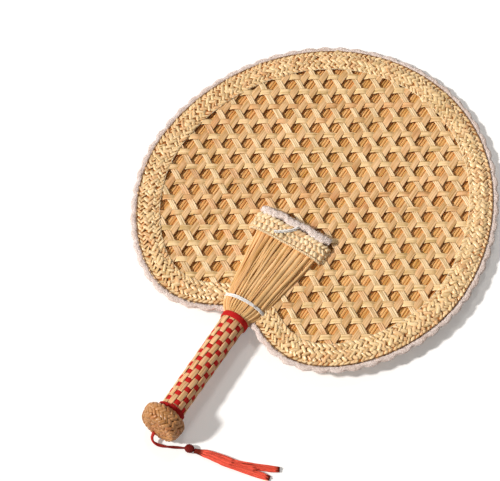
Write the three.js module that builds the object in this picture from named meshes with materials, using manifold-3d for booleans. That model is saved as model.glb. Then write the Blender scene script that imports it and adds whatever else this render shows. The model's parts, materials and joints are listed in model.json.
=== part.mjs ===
// Woven straw hand fan: a two-layer blade with a plaited border, straw braces that grip the
// blade on both sides, a ribbon-woven handle, a plaited knob and a swinging red tassel.
// Units are millimetres. Each fan piece is drawn in the fan's own frame: X across the blade,
// Y along the handle towards the blade's tip with zero at the red neck tape, Z out of the front.
// The whole fan then lies on its back: the knob and the far rim rest on the plane Z = 0.

import * as THREE from 'three';
import { mergeVertices } from 'three/addons/utils/BufferGeometryUtils.js';
import Module from 'manifold-3d';

const wasm = await Module();
wasm.setup();

// Driving dimensions

const clearance = 0.3;
const cutOverrun = 5;
const roundSides = 24;

// Blade outline, right half, from the tip to the notch at the neck
const bladeHalfWidth = 157.8;
const tipAlong = 307.3;
const widestAlong = 125.4;
const lobeOffset = 57;
const lobeAlong = -10.5;
const notchAlong = 8;
const tipFullnessShare = 0.567;
const shoulderShare = 0.539;
const hipShare = 0.49;
const lobeOuterShare = 0.492;
const lobeInnerShare = 0.51;
const notchFullnessShare = 0.25;
const rimHalfSteps = 32;

// Layers of the blade
const matThickness = 2;
const latticeThickness = 1.6;
const borderRows = 3;
const borderRowWidth = 6.2;
const borderRowHeight = 2.7;
const borderRowChamfer = 1.4;
const trimWidth = 5;
const trimThickness = 4.4;
const trimEdgeThickness = 2;

// Open three-way weave on the front of the blade
const weaveRepeat = 18.5;
const columnPitch = 14.45;
const axialStripWidth = 6.4;
const crossStripWidth = 5.4;
const weaveAcross = 2.2;
const weaveAlong = 174.8;
const weaveHem = 1.5;

// Handle, from the neck tape down to the knob
const rodRadius = 6;
const rodSlitStart = 5;
const rodForkEnd = 45;
const gripRadius = 11.6;
const gripEndRadius = 11.1;
const sleeveWall = 1;
const shoulderAlong = -103.7;
const neckTapeWidth = 5;
const neckTapeThickness = 0.45;
const sleeveTop = neckTapeWidth / 2 - clearance;
const sleeveBottom = shoulderAlong + clearance;
const collarDepth = 0.35;
const lowerCollarDepth = 0.8;
const collarStep = 0.4;
const stakes = 13;
const stakeTwist = 0.0073;
const stakeWidthShare = 0.84;
const ribbonPitch = 7.15;
const ribbonWidth = 4.6;
const ribbonThickness = 0.6;
const ribbonStart = -6;
const ribbonStepsPerTurn = 16;
const windowHeight = 3.8;
const lastWindowMargin = 0.8;
const bindingCordDiameter = 1.1;
const bindingPitch = 1.6;
const bindingLoops = 2;
const bindingHalf = (bindingPitch * bindingLoops + bindingCordDiameter) / 2;
const bindingAlong = shoulderAlong + clearance + bindingHalf;
const bindingEdge = bindingAlong + bindingHalf + clearance;
const lastWindowAlong = bindingEdge + lastWindowMargin + windowHeight / 2;
const bindingStepsPerLoop = 16;
const bindingSides = 6;

// Braces: straws splayed over the blade from the neck, front and back
const braceStart = neckTapeWidth / 2;
const braceThreadAlong = 16.7;
const braceThreadHalfWidth = 19.4;
const braceThreadDepth = 11.2;
const braceEnd = 101;
const braceEndHalfWidth = 32;
const braceEndDepth = 7.4;
const braceRoundness = 2;
const braceFlatness = 4;
const braceSections = 8;
const braceSectionSpread = 1.4;
const archSteps = 12;
const threadDiameter = 1.3;
const threadSteps = 28;
const threadSides = 6;
const bandAlong = 83;
const bandHalfWidth = 35.6;
const bandThickness = 2;
const endTrimLength = 7;
const endTrimDrop = 0.6;
const endTrimWall = 2.2;

// Knob: a plaited shell round a straw wad, closed by a coiled button
const knobRadius = 18;
const knobLength = 14.4;
const knobWidestShare = 0.29;
const knobWall = 3;
const knobButtonRadius = 7;
const knobButtonThickness = 2.2;
const knobSkew = 0.07;
const rodEndDepth = 10.6;

// Tassel: a doubled cord, a knot and a silk skirt lying on the table beside the knob
const cordDiameter = 1.8;
const cordExitAcross = -4.1;
const cordExitBelow = 10;
const cordExitGap = 0.5;
const cordSides = 8;
const cordSteps = 18;
const knotRadius = 4;
const knotFlattening = 0.85;
const knotSides = 14;
const skirtLength = 77;
const skirtHalfWidth = 5;
const skirtThickness = 6;
const skirtHeading = 0.25;
const skirtSides = 10;

// Cord route from its exit in the knob: across, along, height above the exit
const cordRoute = [
  [0, 0, 0], [0, -1.5, -0.1], [0.1, -3.2, -0.5], [0.5, -4.7, -1.4], [1.5, -5.9, -2.5],
  [3, -6.6, -3.8], [5.2, -6.5, -5], [7.9, -5.9, -6], [10.9, -4.7, -6.8], [14, -3.3, -7.1],
  [17, -1.7, -7.3], [20, -0.2, -7.3], [22.8, 1.2, -7.1], [25.4, 2.2, -6.4], [27.4, 2.9, -5.5],
];

// Silk stations: shares of the skirt's length, sideways place, half width and thickness
const skirtShares = [
  [0, 0, 0.38, 0.6], [0.073, 0, 0.48, 0.73], [0.148, 0, 0.78, 0.93], [0.293, -0.016, 0.9, 1],
  [0.473, -0.032, 0.96, 0.93], [0.645, -0.026, 1.08, 0.83], [0.762, -0.017, 1, 0.73],
];
const longLockShares = [
  [0.508, -0.011, 0.52, 0.77], [0.713, 0.014, 0.6, 0.73], [0.89, 0.041, 0.58, 0.63], [1, 0.064, 0.42, 0.47],
];
const shortLockShares = [
  [0.497, -0.052, 0.52, 0.77], [0.693, -0.059, 0.6, 0.73], [0.835, -0.061, 0.56, 0.6],
  [0.924, -0.064, 0.38, 0.43],
];

// Finishes

function finish(color, roughness) {
  return new THREE.MeshStandardMaterial({ color, roughness, metalness: 0 });
}

const finishes = {
  straw: finish(0xd9b27c, 0.55),
  paleStraw: finish(0xe6c898, 0.5),
  deepStraw: finish(0xc08f55, 0.6),
  trim: finish(0xd8c4bb, 0.8),
  thread: finish(0xf0ece8, 0.7),
  ribbon: finish(0xc3262c, 0.45),
  cord: finish(0x8e1a1a, 0.6),
  silk: finish(0xe8402c, 0.4),
  bamboo: finish(0xc9a368, 0.6),
};

// Solids from points

function signedVolume(positions, indices) {
  const a = new THREE.Vector3();
  const b = new THREE.Vector3();
  const c = new THREE.Vector3();
  let volume = 0;
  for (let i = 0; i < indices.length; i += 3) {
    a.fromArray(positions, 3 * indices[i]);
    b.fromArray(positions, 3 * indices[i + 1]);
    c.fromArray(positions, 3 * indices[i + 2]);
    volume += a.dot(b.cross(c)) / 6;
  }
  return volume;
}

// A closed body from points and triangles, with its faces turned outwards.
function closedBody(points, triangles) {
  const positions = points.flatMap((p) => [p.x, p.y, p.z]);
  let indices = triangles.flat();
  if (signedVolume(positions, indices) < 0) {
    indices = triangles.flatMap(([i, j, k]) => [i, k, j]);
  }
  const geometry = new THREE.BufferGeometry();
  geometry.setAttribute('position', new THREE.Float32BufferAttribute(positions, 3));
  geometry.setIndex(indices);
  geometry.computeVertexNormals();
  return geometry;
}

// Joins a row of closed sections of equal count; a looped row has no end caps.
function loft(sections, looped) {
  const count = sections[0].length;
  const triangles = [];
  const joins = looped ? sections.length : sections.length - 1;
  for (let row = 0; row < joins; row++) {
    const next = (row + 1) % sections.length;
    for (let i = 0; i < count; i++) {
      const j = (i + 1) % count;
      const a = row * count + i;
      const b = row * count + j;
      const c = next * count + j;
      const d = next * count + i;
      triangles.push([a, b, c], [a, c, d]);
    }
  }
  if (!looped) {
    const last = (sections.length - 1) * count;
    for (let i = 1; i < count - 1; i++) {
      triangles.push([0, i + 1, i], [last, last + i, last + i + 1]);
    }
  }
  return closedBody(sections.flat(), triangles);
}

function solid(geometry) {
  const bare = geometry.clone();
  bare.deleteAttribute('normal');
  bare.deleteAttribute('uv');
  const merged = mergeVertices(bare);
  return new wasm.Manifold(new wasm.Mesh({
    numProp: 3,
    vertProperties: merged.attributes.position.array,
    triVerts: new Uint32Array(merged.index.array),
  }));
}

function body(manifold) {
  const mesh = manifold.getMesh();
  const geometry = new THREE.BufferGeometry();
  geometry.setAttribute('position', new THREE.Float32BufferAttribute(mesh.vertProperties, 3));
  geometry.setIndex(Array.from(mesh.triVerts));
  geometry.computeVertexNormals();
  return geometry;
}

// A revolved body about the handle's axis from a closed profile of [radius, along].
function revolve(profile, sides) {
  const sections = [];
  for (let i = 0; i < sides; i++) {
    const angle = (2 * Math.PI * i) / sides - Math.PI / 2;
    sections.push(profile.map(([radius, along]) => new THREE.Vector3(
      radius * Math.cos(angle), along, radius * Math.sin(angle))));
  }
  return loft(sections, true);
}

// A round bar along the handle's axis.
function bar(radius, from, to, sides) {
  const geometry = new THREE.CylinderGeometry(radius, radius, to - from, sides);
  geometry.translate(0, (from + to) / 2, 0);
  return geometry;
}

function block(halfWidth, from, to, low, high) {
  const geometry = new THREE.BoxGeometry(2 * halfWidth, to - from, high - low);
  geometry.translate(0, (from + to) / 2, (low + high) / 2);
  return geometry;
}

// Blade outline

const rim = (() => {
  const tip = new THREE.Vector2(0, tipAlong);
  const widest = new THREE.Vector2(bladeHalfWidth, widestAlong);
  const lobe = new THREE.Vector2(lobeOffset, lobeAlong);
  const notch = new THREE.Vector2(0, notchAlong);
  const path = new THREE.CurvePath();
  path.add(new THREE.CubicBezierCurve(tip,
    new THREE.Vector2(tipFullnessShare * bladeHalfWidth, tipAlong),
    new THREE.Vector2(bladeHalfWidth, widestAlong + shoulderShare * (tipAlong - widestAlong)),
    widest));
  path.add(new THREE.CubicBezierCurve(widest,
    new THREE.Vector2(bladeHalfWidth, widestAlong - hipShare * (widestAlong - lobeAlong)),
    new THREE.Vector2(lobeOffset + lobeOuterShare * (bladeHalfWidth - lobeOffset), lobeAlong),
    lobe));
  path.add(new THREE.CubicBezierCurve(lobe,
    new THREE.Vector2(lobeOffset * (1 - lobeInnerShare), lobeAlong),
    new THREE.Vector2(lobeOffset * notchFullnessShare, notchAlong),
    notch));
  const right = path.getSpacedPoints(rimHalfSteps);
  right[0].x = 0;
  right[rimHalfSteps].x = 0;
  const left = right.slice(1, -1).reverse().map((p) => new THREE.Vector2(-p.x, p.y));
  return [...right, ...left];
})();

// The outline moved inwards by an inset, point for point.
function rimPoints(inset) {
  return rim.map((point, i) => {
    const before = rim[(i + rim.length - 1) % rim.length];
    const after = rim[(i + 1) % rim.length];
    const run = after.clone().sub(before).normalize();
    return new THREE.Vector2(point.x + run.y * inset, point.y - run.x * inset);
  });
}

// A ring that follows the rim, from a closed section of [inset, height].
function rimRing(section) {
  const lines = section.map(([inset, height]) => rimPoints(inset).map(
    (p) => new THREE.Vector3(p.x, p.y, height)));
  const sections = rim.map((_, i) => lines.map((line) => line[i]));
  return loft(sections, true);
}

// A flat plate inside the outline, between two heights.
function rimPlate(inset, low, high) {
  const geometry = new THREE.ExtrudeGeometry(new THREE.Shape(rimPoints(inset)), {
    depth: high - low, bevelEnabled: false,
  });
  geometry.translate(0, 0, low);
  return geometry;
}

const matHalf = matThickness / 2;
const layerBase = matHalf + clearance;
const latticeTop = layerBase + latticeThickness;
const borderTop = layerBase + borderRowHeight;
const borderStep = borderRowWidth + clearance;
const borderOuterInset = trimWidth + clearance;
const latticeInset = borderOuterInset + borderRows * borderStep;

// Blade pieces

function strawMat() {
  return body(solid(rimPlate(borderOuterInset, -matHalf, matHalf)));
}

// One row of the plaited border; side is 1 on the front and -1 on the back.
function borderRow(row, side) {
  const outer = borderOuterInset + row * borderStep;
  const inner = outer + borderRowWidth;
  return rimRing([
    [outer, side * layerBase],
    [inner, side * layerBase],
    [inner - borderRowChamfer, side * borderTop],
    [outer + borderRowChamfer, side * borderTop],
  ]);
}

function edgeTrim() {
  return rimRing([
    [0, -trimEdgeThickness / 2],
    [trimWidth / 2, -trimThickness / 2],
    [trimWidth, -trimThickness / 2],
    [trimWidth, trimThickness / 2],
    [trimWidth / 2, trimThickness / 2],
    [0, trimEdgeThickness / 2],
  ]);
}

// Six-sided opening between the strips, centred on zero.
function weaveOpening() {
  const rise = weaveRepeat / (2 * columnPitch);
  const stripHalfRise = (crossStripWidth / 2) * Math.hypot(1, rise);
  const top = weaveRepeat / 2 - stripHalfRise;
  const side = (columnPitch - axialStripWidth) / 2;
  const corner = top - rise * side;
  return [[0, top], [side, corner], [side, -corner], [0, -top], [-side, -corner], [-side, corner]];
}

// Strips along the handle and two slanting sets leave six-sided openings in staggered columns.
function frontLattice() {
  const plate = solid(rimPlate(latticeInset, layerBase, latticeTop));
  const field = solid(rimPlate(latticeInset + weaveHem, layerBase - cutOverrun, latticeTop + cutOverrun));
  const opening = weaveOpening();
  const columns = Math.ceil(bladeHalfWidth / columnPitch);
  const rows = Math.ceil(tipAlong / weaveRepeat);
  const cutters = [];
  for (let column = -columns; column <= columns; column++) {
    for (let row = -rows; row <= rows; row++) {
      const across = weaveAcross + column * columnPitch;
      const along = weaveAlong + (row + (column % 2) / 2) * weaveRepeat;
      const outline = opening.map(([x, y]) => new THREE.Vector2(across + x, along + y));
      const cutter = new THREE.ExtrudeGeometry(new THREE.Shape(outline), {
        depth: latticeThickness + 2 * cutOverrun, bevelEnabled: false,
      });
      cutter.translate(0, 0, layerBase - cutOverrun);
      cutters.push(solid(cutter));
    }
  }
  const openings = wasm.Manifold.compose(cutters).intersect(field);
  return body(plate.subtract(openings));
}

// Braces

// Half width, depth and squareness of the brace at a place along the handle.
function braceSize(along) {
  const below = Math.min(1, (along - braceStart) / (braceThreadAlong - braceStart));
  const above = Math.max(0, (along - braceThreadAlong) / (braceEnd - braceThreadAlong));
  const swell = Math.sin((below * Math.PI) / 2);
  return {
    halfWidth: gripRadius + (braceThreadHalfWidth - gripRadius) * swell
      + (braceEndHalfWidth - braceThreadHalfWidth) * above,
    depth: gripRadius + (braceThreadDepth - gripRadius) * below
      + (braceEndDepth - braceThreadDepth) * above,
    squareness: braceRoundness + (braceFlatness - braceRoundness) * above,
  };
}

// An arch of superellipse form standing on the blade's middle plane.
function arch(along, halfWidth, depth, squareness) {
  const points = [];
  for (let i = 0; i <= archSteps; i++) {
    const angle = (Math.PI * i) / archSteps;
    const x = Math.sign(Math.cos(angle)) * Math.abs(Math.cos(angle)) ** (2 / squareness);
    const z = Math.sin(angle) ** (2 / squareness);
    points.push(new THREE.Vector3(halfWidth * x, along, i % archSteps === 0 ? 0 : depth * z));
  }
  return points;
}

function braceBody(grow, from, to) {
  const stations = [];
  for (let i = 0; i <= braceSections; i++) {
    const share = i / braceSections;
    stations.push(from + (to - from) * share ** braceSectionSpread);
  }
  return loft(stations.map((along) => {
    const size = braceSize(along);
    return arch(along, size.halfWidth + grow, size.depth + grow, size.squareness);
  }), false);
}

// What the blade and the rod take up under a front brace, with clearance.
function bladeRoom(reach) {
  const overLattice = solid(rimPlate(-clearance, -reach, latticeTop + clearance));
  const overBorder = solid(rimPlate(-clearance, -reach, borderTop + clearance))
    .subtract(solid(rimPlate(latticeInset - clearance, -2 * reach, borderTop + reach)));
  const halves = solid(block(bladeHalfWidth, -reach, tipAlong, -reach, clearance / 2));
  return overLattice.add(overBorder).add(halves);
}

function turnedOver(geometry) {
  geometry.rotateY(Math.PI);
  return geometry;
}

const braceReach = 2 * gripRadius;

function brace() {
  const rodRoom = solid(bar(rodRadius + clearance, braceStart - cutOverrun, rodForkEnd + clearance,
    roundSides));
  return body(solid(braceBody(0, braceStart, braceEnd)).subtract(bladeRoom(braceReach)).subtract(rodRoom));
}

// A plaited strap over the brace's free end, open towards the blade.
function braceBand() {
  const over = loft([bandAlong, braceEnd].map((along) => {
    const size = braceSize(along);
    return arch(along, bandHalfWidth, size.depth + clearance + bandThickness, braceFlatness);
  }), false);
  const under = braceBody(clearance, bandAlong - cutOverrun, braceEnd + cutOverrun);
  return body(solid(over).subtract(solid(under)).subtract(bladeRoom(braceReach)));
}

// A soft roll that closes the strap's upper edge.
function braceEndTrim() {
  const from = braceEnd + clearance;
  const depth = braceSize(braceEnd).depth + clearance + bandThickness - endTrimDrop;
  const outer = [from, from + endTrimLength].map((along) => arch(
    along, bandHalfWidth - endTrimDrop, depth, braceFlatness));
  const inner = [from - cutOverrun, from + endTrimLength + cutOverrun].map((along) => arch(
    along, bandHalfWidth - endTrimDrop - endTrimWall, depth - endTrimWall, braceFlatness));
  const roll = solid(loft(outer, false)).subtract(solid(loft(inner, false)));
  return body(roll.subtract(bladeRoom(braceReach)));
}

// A ring round both braces at the thread's place; it passes through the blade on each side.
function threadRing(barRadius) {
  const size = braceSize(braceThreadAlong);
  const slope = (braceSize(braceThreadAlong + threadDiameter).halfWidth - size.halfWidth) / threadDiameter;
  const gap = clearance + (threadDiameter / 2) * (1 + slope);
  const sections = [];
  for (let i = 0; i < threadSteps; i++) {
    const angle = (2 * Math.PI * i) / threadSteps;
    const outward = new THREE.Vector3(Math.cos(angle), 0, Math.sin(angle));
    const centre = new THREE.Vector3((size.halfWidth + gap) * outward.x, braceThreadAlong,
      (size.depth + gap) * outward.z);
    const section = [];
    for (let k = 0; k < threadSides; k++) {
      const turn = (2 * Math.PI * k) / threadSides;
      section.push(centre.clone()
        .addScaledVector(outward, barRadius * Math.cos(turn))
        .add(new THREE.Vector3(0, barRadius * Math.sin(turn), 0)));
    }
    sections.push(section);
  }
  return loft(sections, true);
}

// White thread sewn through the blade and tied round both braces above the neck.
function neckThread() {
  return threadRing(threadDiameter / 2);
}

// A blade layer with the two holes that the neck thread is sewn through.
function sewn(geometry) {
  return body(solid(geometry).subtract(solid(threadRing(threadDiameter / 2 + clearance))));
}

// Handle

// Radius of the woven grip, which narrows evenly towards the knob.
function gripAt(along) {
  return gripRadius + (gripEndRadius - gripRadius) * (along / sleeveBottom);
}

// The sleeve is drawn in under the neck tape and under the lower binding.
function sleeveRadius(along) {
  const tapeEdge = -neckTapeWidth / 2;
  const upper = THREE.MathUtils.clamp((along - tapeEdge + collarStep) / collarStep, 0, 1);
  const lower = THREE.MathUtils.clamp((bindingEdge - along) / collarStep, 0, 1);
  return gripAt(along) - collarDepth * upper - lowerCollarDepth * lower;
}

function around(radius, angle, along) {
  return new THREE.Vector3(radius * Math.sin(angle), along, radius * Math.cos(angle));
}

const stakeHalfAngle = (stakeWidthShare * Math.PI) / stakes;
const crossingDrop = ribbonPitch / stakes;

// The ribbon crosses the stakes in turn, over one and under the next; with an odd number of
// stakes each turn is offset from the last. Returns the places where it shows on one stake.
function windowsOnStake(stake) {
  const places = [];
  for (let crossing = stake; ribbonStart - crossing * crossingDrop > lastWindowAlong; crossing += stakes) {
    if (crossing % 2 === 0) {
      places.push(ribbonStart - crossing * crossingDrop);
    }
  }
  return places;
}

// Straw stakes side by side round the grip, open where the ribbon shows.
function strawSleeve() {
  const tapeEdge = -neckTapeWidth / 2;
  const collarLevels = 3;
  const points = [];
  const triangles = [];
  const lines = [];
  for (let stake = 0; stake < stakes; stake++) {
    const levels = [sleeveTop, tapeEdge, tapeEdge - collarStep];
    for (const place of windowsOnStake(stake)) {
      levels.push(place + windowHeight / 2, place - windowHeight / 2);
    }
    levels.push(bindingEdge, bindingEdge - collarStep, sleeveBottom);
    for (const side of [-1, 1]) {
      const line = levels.map((along) => {
        const angle = (2 * Math.PI * stake) / stakes + side * stakeHalfAngle + stakeTwist * along;
        points.push(around(sleeveRadius(along), angle, along));
        points.push(around(gripAt(along) - sleeveWall, angle, along));
        return { along, outer: points.length - 2, inner: points.length - 1 };
      });
      lines.push(line);
    }
  }
  const quad = (a, b, c, d) => triangles.push([a, b, c], [a, c, d]);
  for (let i = 0; i < lines.length; i++) {
    const left = lines[i];
    const right = lines[(i + 1) % lines.length];
    const onStake = i % 2 === 0;
    let a = 0;
    let b = 0;
    while (a < left.length - 1 || b < right.length - 1) {
      if (onStake) {
        const open = a >= collarLevels && a < left.length - collarLevels
          && (a - collarLevels) % 2 === 0;
        const [l0, l1, r0, r1] = [left[a], left[a + 1], right[a], right[a + 1]];
        if (open) {
          quad(l1.outer, l0.outer, l0.inner, l1.inner);
          quad(r0.outer, r1.outer, r1.inner, r0.inner);
          quad(l0.outer, r0.outer, r0.inner, l0.inner);
          quad(r1.outer, l1.outer, l1.inner, r1.inner);
        } else {
          quad(l0.outer, r0.outer, r1.outer, l1.outer);
          quad(l0.inner, l1.inner, r1.inner, r0.inner);
        }
        a += 1;
        b += 1;
        continue;
      }
      const stepLeft = b >= right.length - 1
        || (a < left.length - 1 && left[a + 1].along >= right[b + 1].along);
      if (stepLeft) {
        triangles.push([left[a].outer, right[b].outer, left[a + 1].outer]);
        triangles.push([left[a].inner, left[a + 1].inner, right[b].inner]);
        a += 1;
      } else {
        triangles.push([left[a].outer, right[b].outer, right[b + 1].outer]);
        triangles.push([left[a].inner, right[b + 1].inner, right[b].inner]);
        b += 1;
      }
    }
    const [l, r] = [left[0], right[0]];
    const [m, n] = [left[left.length - 1], right[right.length - 1]];
    quad(l.outer, l.inner, r.inner, r.outer);
    quad(m.outer, n.outer, n.inner, m.inner);
  }
  return closedBody(points, triangles);
}

const sleeveFlat = Math.cos(stakeHalfAngle);
const ribbonFlat = Math.cos(Math.PI / ribbonStepsPerTurn);

function ribbonOuter(along) {
  return (gripAt(along) - sleeveWall) * sleeveFlat - clearance;
}

function fillerRadius(along) {
  return (ribbonOuter(along) - ribbonThickness) * ribbonFlat - clearance;
}

// One unbroken red ribbon wound down the grip under the straw.
function redRibbon() {
  const turns = (ribbonStart - lastWindowAlong) / ribbonPitch;
  const steps = Math.round(turns * ribbonStepsPerTurn);
  const sections = [];
  const middles = [];
  for (let i = 0; i <= steps; i++) {
    const angle = (2 * Math.PI * i) / ribbonStepsPerTurn;
    const along = ribbonStart - (ribbonPitch * i) / ribbonStepsPerTurn;
    const outer = ribbonOuter(along);
    const inner = outer - ribbonThickness;
    const high = along + ribbonWidth / 2;
    const low = along - ribbonWidth / 2;
    sections.push([around(outer, angle, high), around(outer, angle, low),
      around(inner, angle, low), around(inner, angle, high)]);
    middles.push(around(outer, angle, along));
  }
  let least = Infinity;
  for (let i = 0; i + ribbonStepsPerTurn < middles.length; i++) {
    least = Math.min(least, middles[i].distanceTo(middles[i + ribbonStepsPerTurn]) - ribbonWidth);
  }
  console.log(`red ribbon: ${turns.toFixed(1)} turns, least gap to itself ${least.toFixed(2)} mm`);
  return loft(sections, false);
}

// Straw packed between the rod and the ribbon.
function strawFiller() {
  const hollow = (rodRadius + clearance) / Math.cos(Math.PI / roundSides);
  return revolve([
    [hollow, sleeveTop], [fillerRadius(sleeveTop), sleeveTop],
    [fillerRadius(sleeveBottom), sleeveBottom], [hollow, sleeveBottom],
  ], roundSides);
}

// A bamboo rod through the handle, split at its upper end to clamp the blade.
function coreRod() {
  const rod = solid(bar(rodRadius, shoulderAlong - rodEndDepth, rodForkEnd, roundSides));
  const slit = solid(block(2 * rodRadius, rodSlitStart, rodForkEnd + cutOverrun,
    -borderTop - clearance, borderTop + clearance));
  return body(rod.subtract(slit));
}

function neckTape() {
  const inner = (gripRadius - collarDepth + clearance) / Math.cos(Math.PI / roundSides);
  const outer = inner + neckTapeThickness;
  return revolve([
    [inner, neckTapeWidth / 2], [outer, neckTapeWidth / 2],
    [outer, -neckTapeWidth / 2], [inner, -neckTapeWidth / 2],
  ], roundSides);
}

// A thin red cord wound twice round the sleeve above the knob.
function lowerBinding() {
  const radius = (gripAt(bindingAlong) - lowerCollarDepth + clearance + bindingCordDiameter / 2)
    / Math.cos(Math.PI / bindingStepsPerLoop);
  const steps = bindingLoops * bindingStepsPerLoop;
  const sections = [];
  const middles = [];
  for (let i = 0; i <= steps; i++) {
    const angle = (2 * Math.PI * i) / bindingStepsPerLoop;
    const drop = bindingPitch * (i / bindingStepsPerLoop - bindingLoops / 2);
    middles.push(around(radius, angle, bindingAlong - drop));
    const section = [];
    for (let k = 0; k < bindingSides; k++) {
      const turn = (2 * Math.PI * k) / bindingSides;
      section.push(around(radius + (bindingCordDiameter / 2) * Math.cos(turn), angle,
        bindingAlong - drop + (bindingCordDiameter / 2) * Math.sin(turn)));
    }
    sections.push(section);
  }
  let least = Infinity;
  for (let i = 0; i + bindingStepsPerLoop < middles.length; i++) {
    least = Math.min(least, middles[i].distanceTo(middles[i + bindingStepsPerLoop]) - bindingCordDiameter);
  }
  console.log(`lower binding: ${bindingLoops} loops, least gap to itself ${least.toFixed(2)} mm`);
  return loft(sections, false);
}

// Knob

// Leans the knob's end sideways, more and more from the shoulder down.
function skewed(geometry) {
  const places = geometry.attributes.position;
  for (let i = 0; i < places.count; i++) {
    const depth = shoulderAlong - places.getY(i);
    places.setY(i, places.getY(i) - (knobSkew * places.getX(i) * depth) / knobLength);
  }
  geometry.computeVertexNormals();
  return geometry;
}

// Outer profile of the knob from the shoulder to its end: shares of radius and of depth.
const knobCurveShares = [
  [0.88, 0], [0.955, 0.07], [1, knobWidestShare], [0.98, 0.5], [0.94, 0.75], [0.9, 0.92], [0.82, 1],
];

function knobProfile(inwards) {
  return knobCurveShares.map(([radiusShare, depthShare]) => {
    const depth = THREE.MathUtils.clamp(depthShare * knobLength, inwards, knobLength - inwards);
    return [radiusShare * knobRadius - inwards, shoulderAlong - depth];
  });
}

function knobShell() {
  const end = shoulderAlong - knobLength;
  const mouth = rodRadius + clearance;
  const inside = knobProfile(knobWall).reverse();
  const button = knobButtonRadius + clearance;
  return skewed(revolve([
    [mouth, shoulderAlong], ...knobProfile(0),
    [button, end], [button, end + knobWall], ...inside, [mouth, shoulderAlong - knobWall],
  ], roundSides));
}

function knobWad() {
  const hollow = (rodRadius + clearance) / Math.cos(Math.PI / roundSides);
  const inside = knobProfile(knobWall + clearance);
  const [, low] = inside[inside.length - 1];
  return skewed(revolve([
    [hollow, inside[0][1]], ...inside, [hollow, low],
  ], roundSides));
}

function knobButton() {
  const end = shoulderAlong - knobLength;
  return skewed(bar(knobButtonRadius, end, end + knobButtonThickness, roundSides));
}

// Tassel

function tasselCord() {
  const points = cordRoute.map((p) => new THREE.Vector3(...p));
  const route = new THREE.CatmullRomCurve3(points, false, 'centripetal');
  const section = new THREE.Shape();
  for (let i = 0; i < cordSides; i++) {
    const angle = (2 * Math.PI * i) / cordSides;
    const x = (cordDiameter / 2) * Math.cos(angle);
    const y = (cordDiameter / 2) * Math.sin(angle);
    if (i === 0) {
      section.moveTo(x, y);
    } else {
      section.lineTo(x, y);
    }
  }
  console.log(`tassel cord: ${route.getLength().toFixed(1)} mm long`);
  const tube = new THREE.ExtrudeGeometry(section, {
    steps: cordSteps, bevelEnabled: false, extrudePath: route,
  });
  return body(solid(tube));
}

// The knot lies on the table just past the cord's end.
const knotMiddle = (() => {
  const [before, end] = cordRoute.slice(-2).map(([x, y]) => new THREE.Vector2(x, y));
  const heading = end.clone().sub(before).normalize();
  return end.addScaledVector(heading, knotRadius + clearance);
})();

function tasselKnot() {
  const knot = new THREE.SphereGeometry(knotRadius, knotSides, Math.round(knotSides / 2));
  knot.scale(1, 1, knotFlattening);
  knot.translate(knotMiddle.x, knotMiddle.y, knotRadius * knotFlattening);
  return body(solid(knot));
}

// A lock of silk through stations given in shares, lying on the table past the knot.
function silkLock(shares) {
  const start = knotRadius + clearance;
  const ahead = new THREE.Vector2(Math.cos(skirtHeading), Math.sin(skirtHeading));
  const aside = new THREE.Vector2(-ahead.y, ahead.x);
  const centres = shares.map(([lengthShare, sideShare]) => knotMiddle.clone()
    .addScaledVector(ahead, start + lengthShare * (skirtLength - start))
    .addScaledVector(aside, sideShare * skirtLength));
  const sections = shares.map(([, , widthShare, heightShare], i) => {
    const before = centres[Math.max(0, i - 1)];
    const after = centres[Math.min(centres.length - 1, i + 1)];
    const side = new THREE.Vector2(before.y - after.y, after.x - before.x).normalize();
    const section = [];
    for (let k = 0; k < skirtSides; k++) {
      const angle = (2 * Math.PI * k) / skirtSides;
      const reach = widthShare * skirtHalfWidth * Math.cos(angle);
      section.push(new THREE.Vector3(centres[i].x + side.x * reach, centres[i].y + side.y * reach,
        heightShare * (skirtThickness / 2) * (1 + Math.sin(angle))));
    }
    return section;
  });
  return solid(loft(sections, false));
}

function tasselSkirt() {
  return body([longLockShares, shortLockShares].reduce(
    (skirt, shares) => skirt.add(silkLock(shares)), silkLock(skirtShares)));
}

// Assembly

function piece(group, name, geometry, material) {
  const mesh = new THREE.Mesh(geometry, material);
  mesh.name = name;
  group.add(mesh);
}

const fan = new THREE.Group();
piece(fan, 'straw_mat', sewn(strawMat()), finishes.deepStraw);
piece(fan, 'front_lattice', sewn(frontLattice()), finishes.straw);
['outer', 'middle', 'inner'].slice(0, borderRows).forEach((place, row) => {
  piece(fan, `front_border_${place}`, sewn(borderRow(row, 1)), finishes.paleStraw);
  piece(fan, `back_border_${place}`, sewn(borderRow(row, -1)), finishes.paleStraw);
});
piece(fan, 'edge_trim', edgeTrim(), finishes.trim);

piece(fan, 'front_brace', brace(), finishes.straw);
piece(fan, 'back_brace', turnedOver(brace()), finishes.straw);
piece(fan, 'front_brace_band', braceBand(), finishes.paleStraw);
piece(fan, 'back_brace_band', turnedOver(braceBand()), finishes.paleStraw);
piece(fan, 'front_brace_trim', braceEndTrim(), finishes.trim);
piece(fan, 'back_brace_trim', turnedOver(braceEndTrim()), finishes.trim);
piece(fan, 'neck_thread', neckThread(), finishes.thread);

piece(fan, 'core_rod', coreRod(), finishes.bamboo);
piece(fan, 'straw_filler', strawFiller(), finishes.straw);
piece(fan, 'red_ribbon', redRibbon(), finishes.ribbon);
piece(fan, 'straw_sleeve', strawSleeve(), finishes.paleStraw);
piece(fan, 'neck_tape', neckTape(), finishes.ribbon);
piece(fan, 'lower_binding', lowerBinding(), finishes.cord);

piece(fan, 'knob_shell', knobShell(), finishes.straw);
piece(fan, 'knob_wad', knobWad(), finishes.deepStraw);
piece(fan, 'knob_button', knobButton(), finishes.paleStraw);

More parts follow.
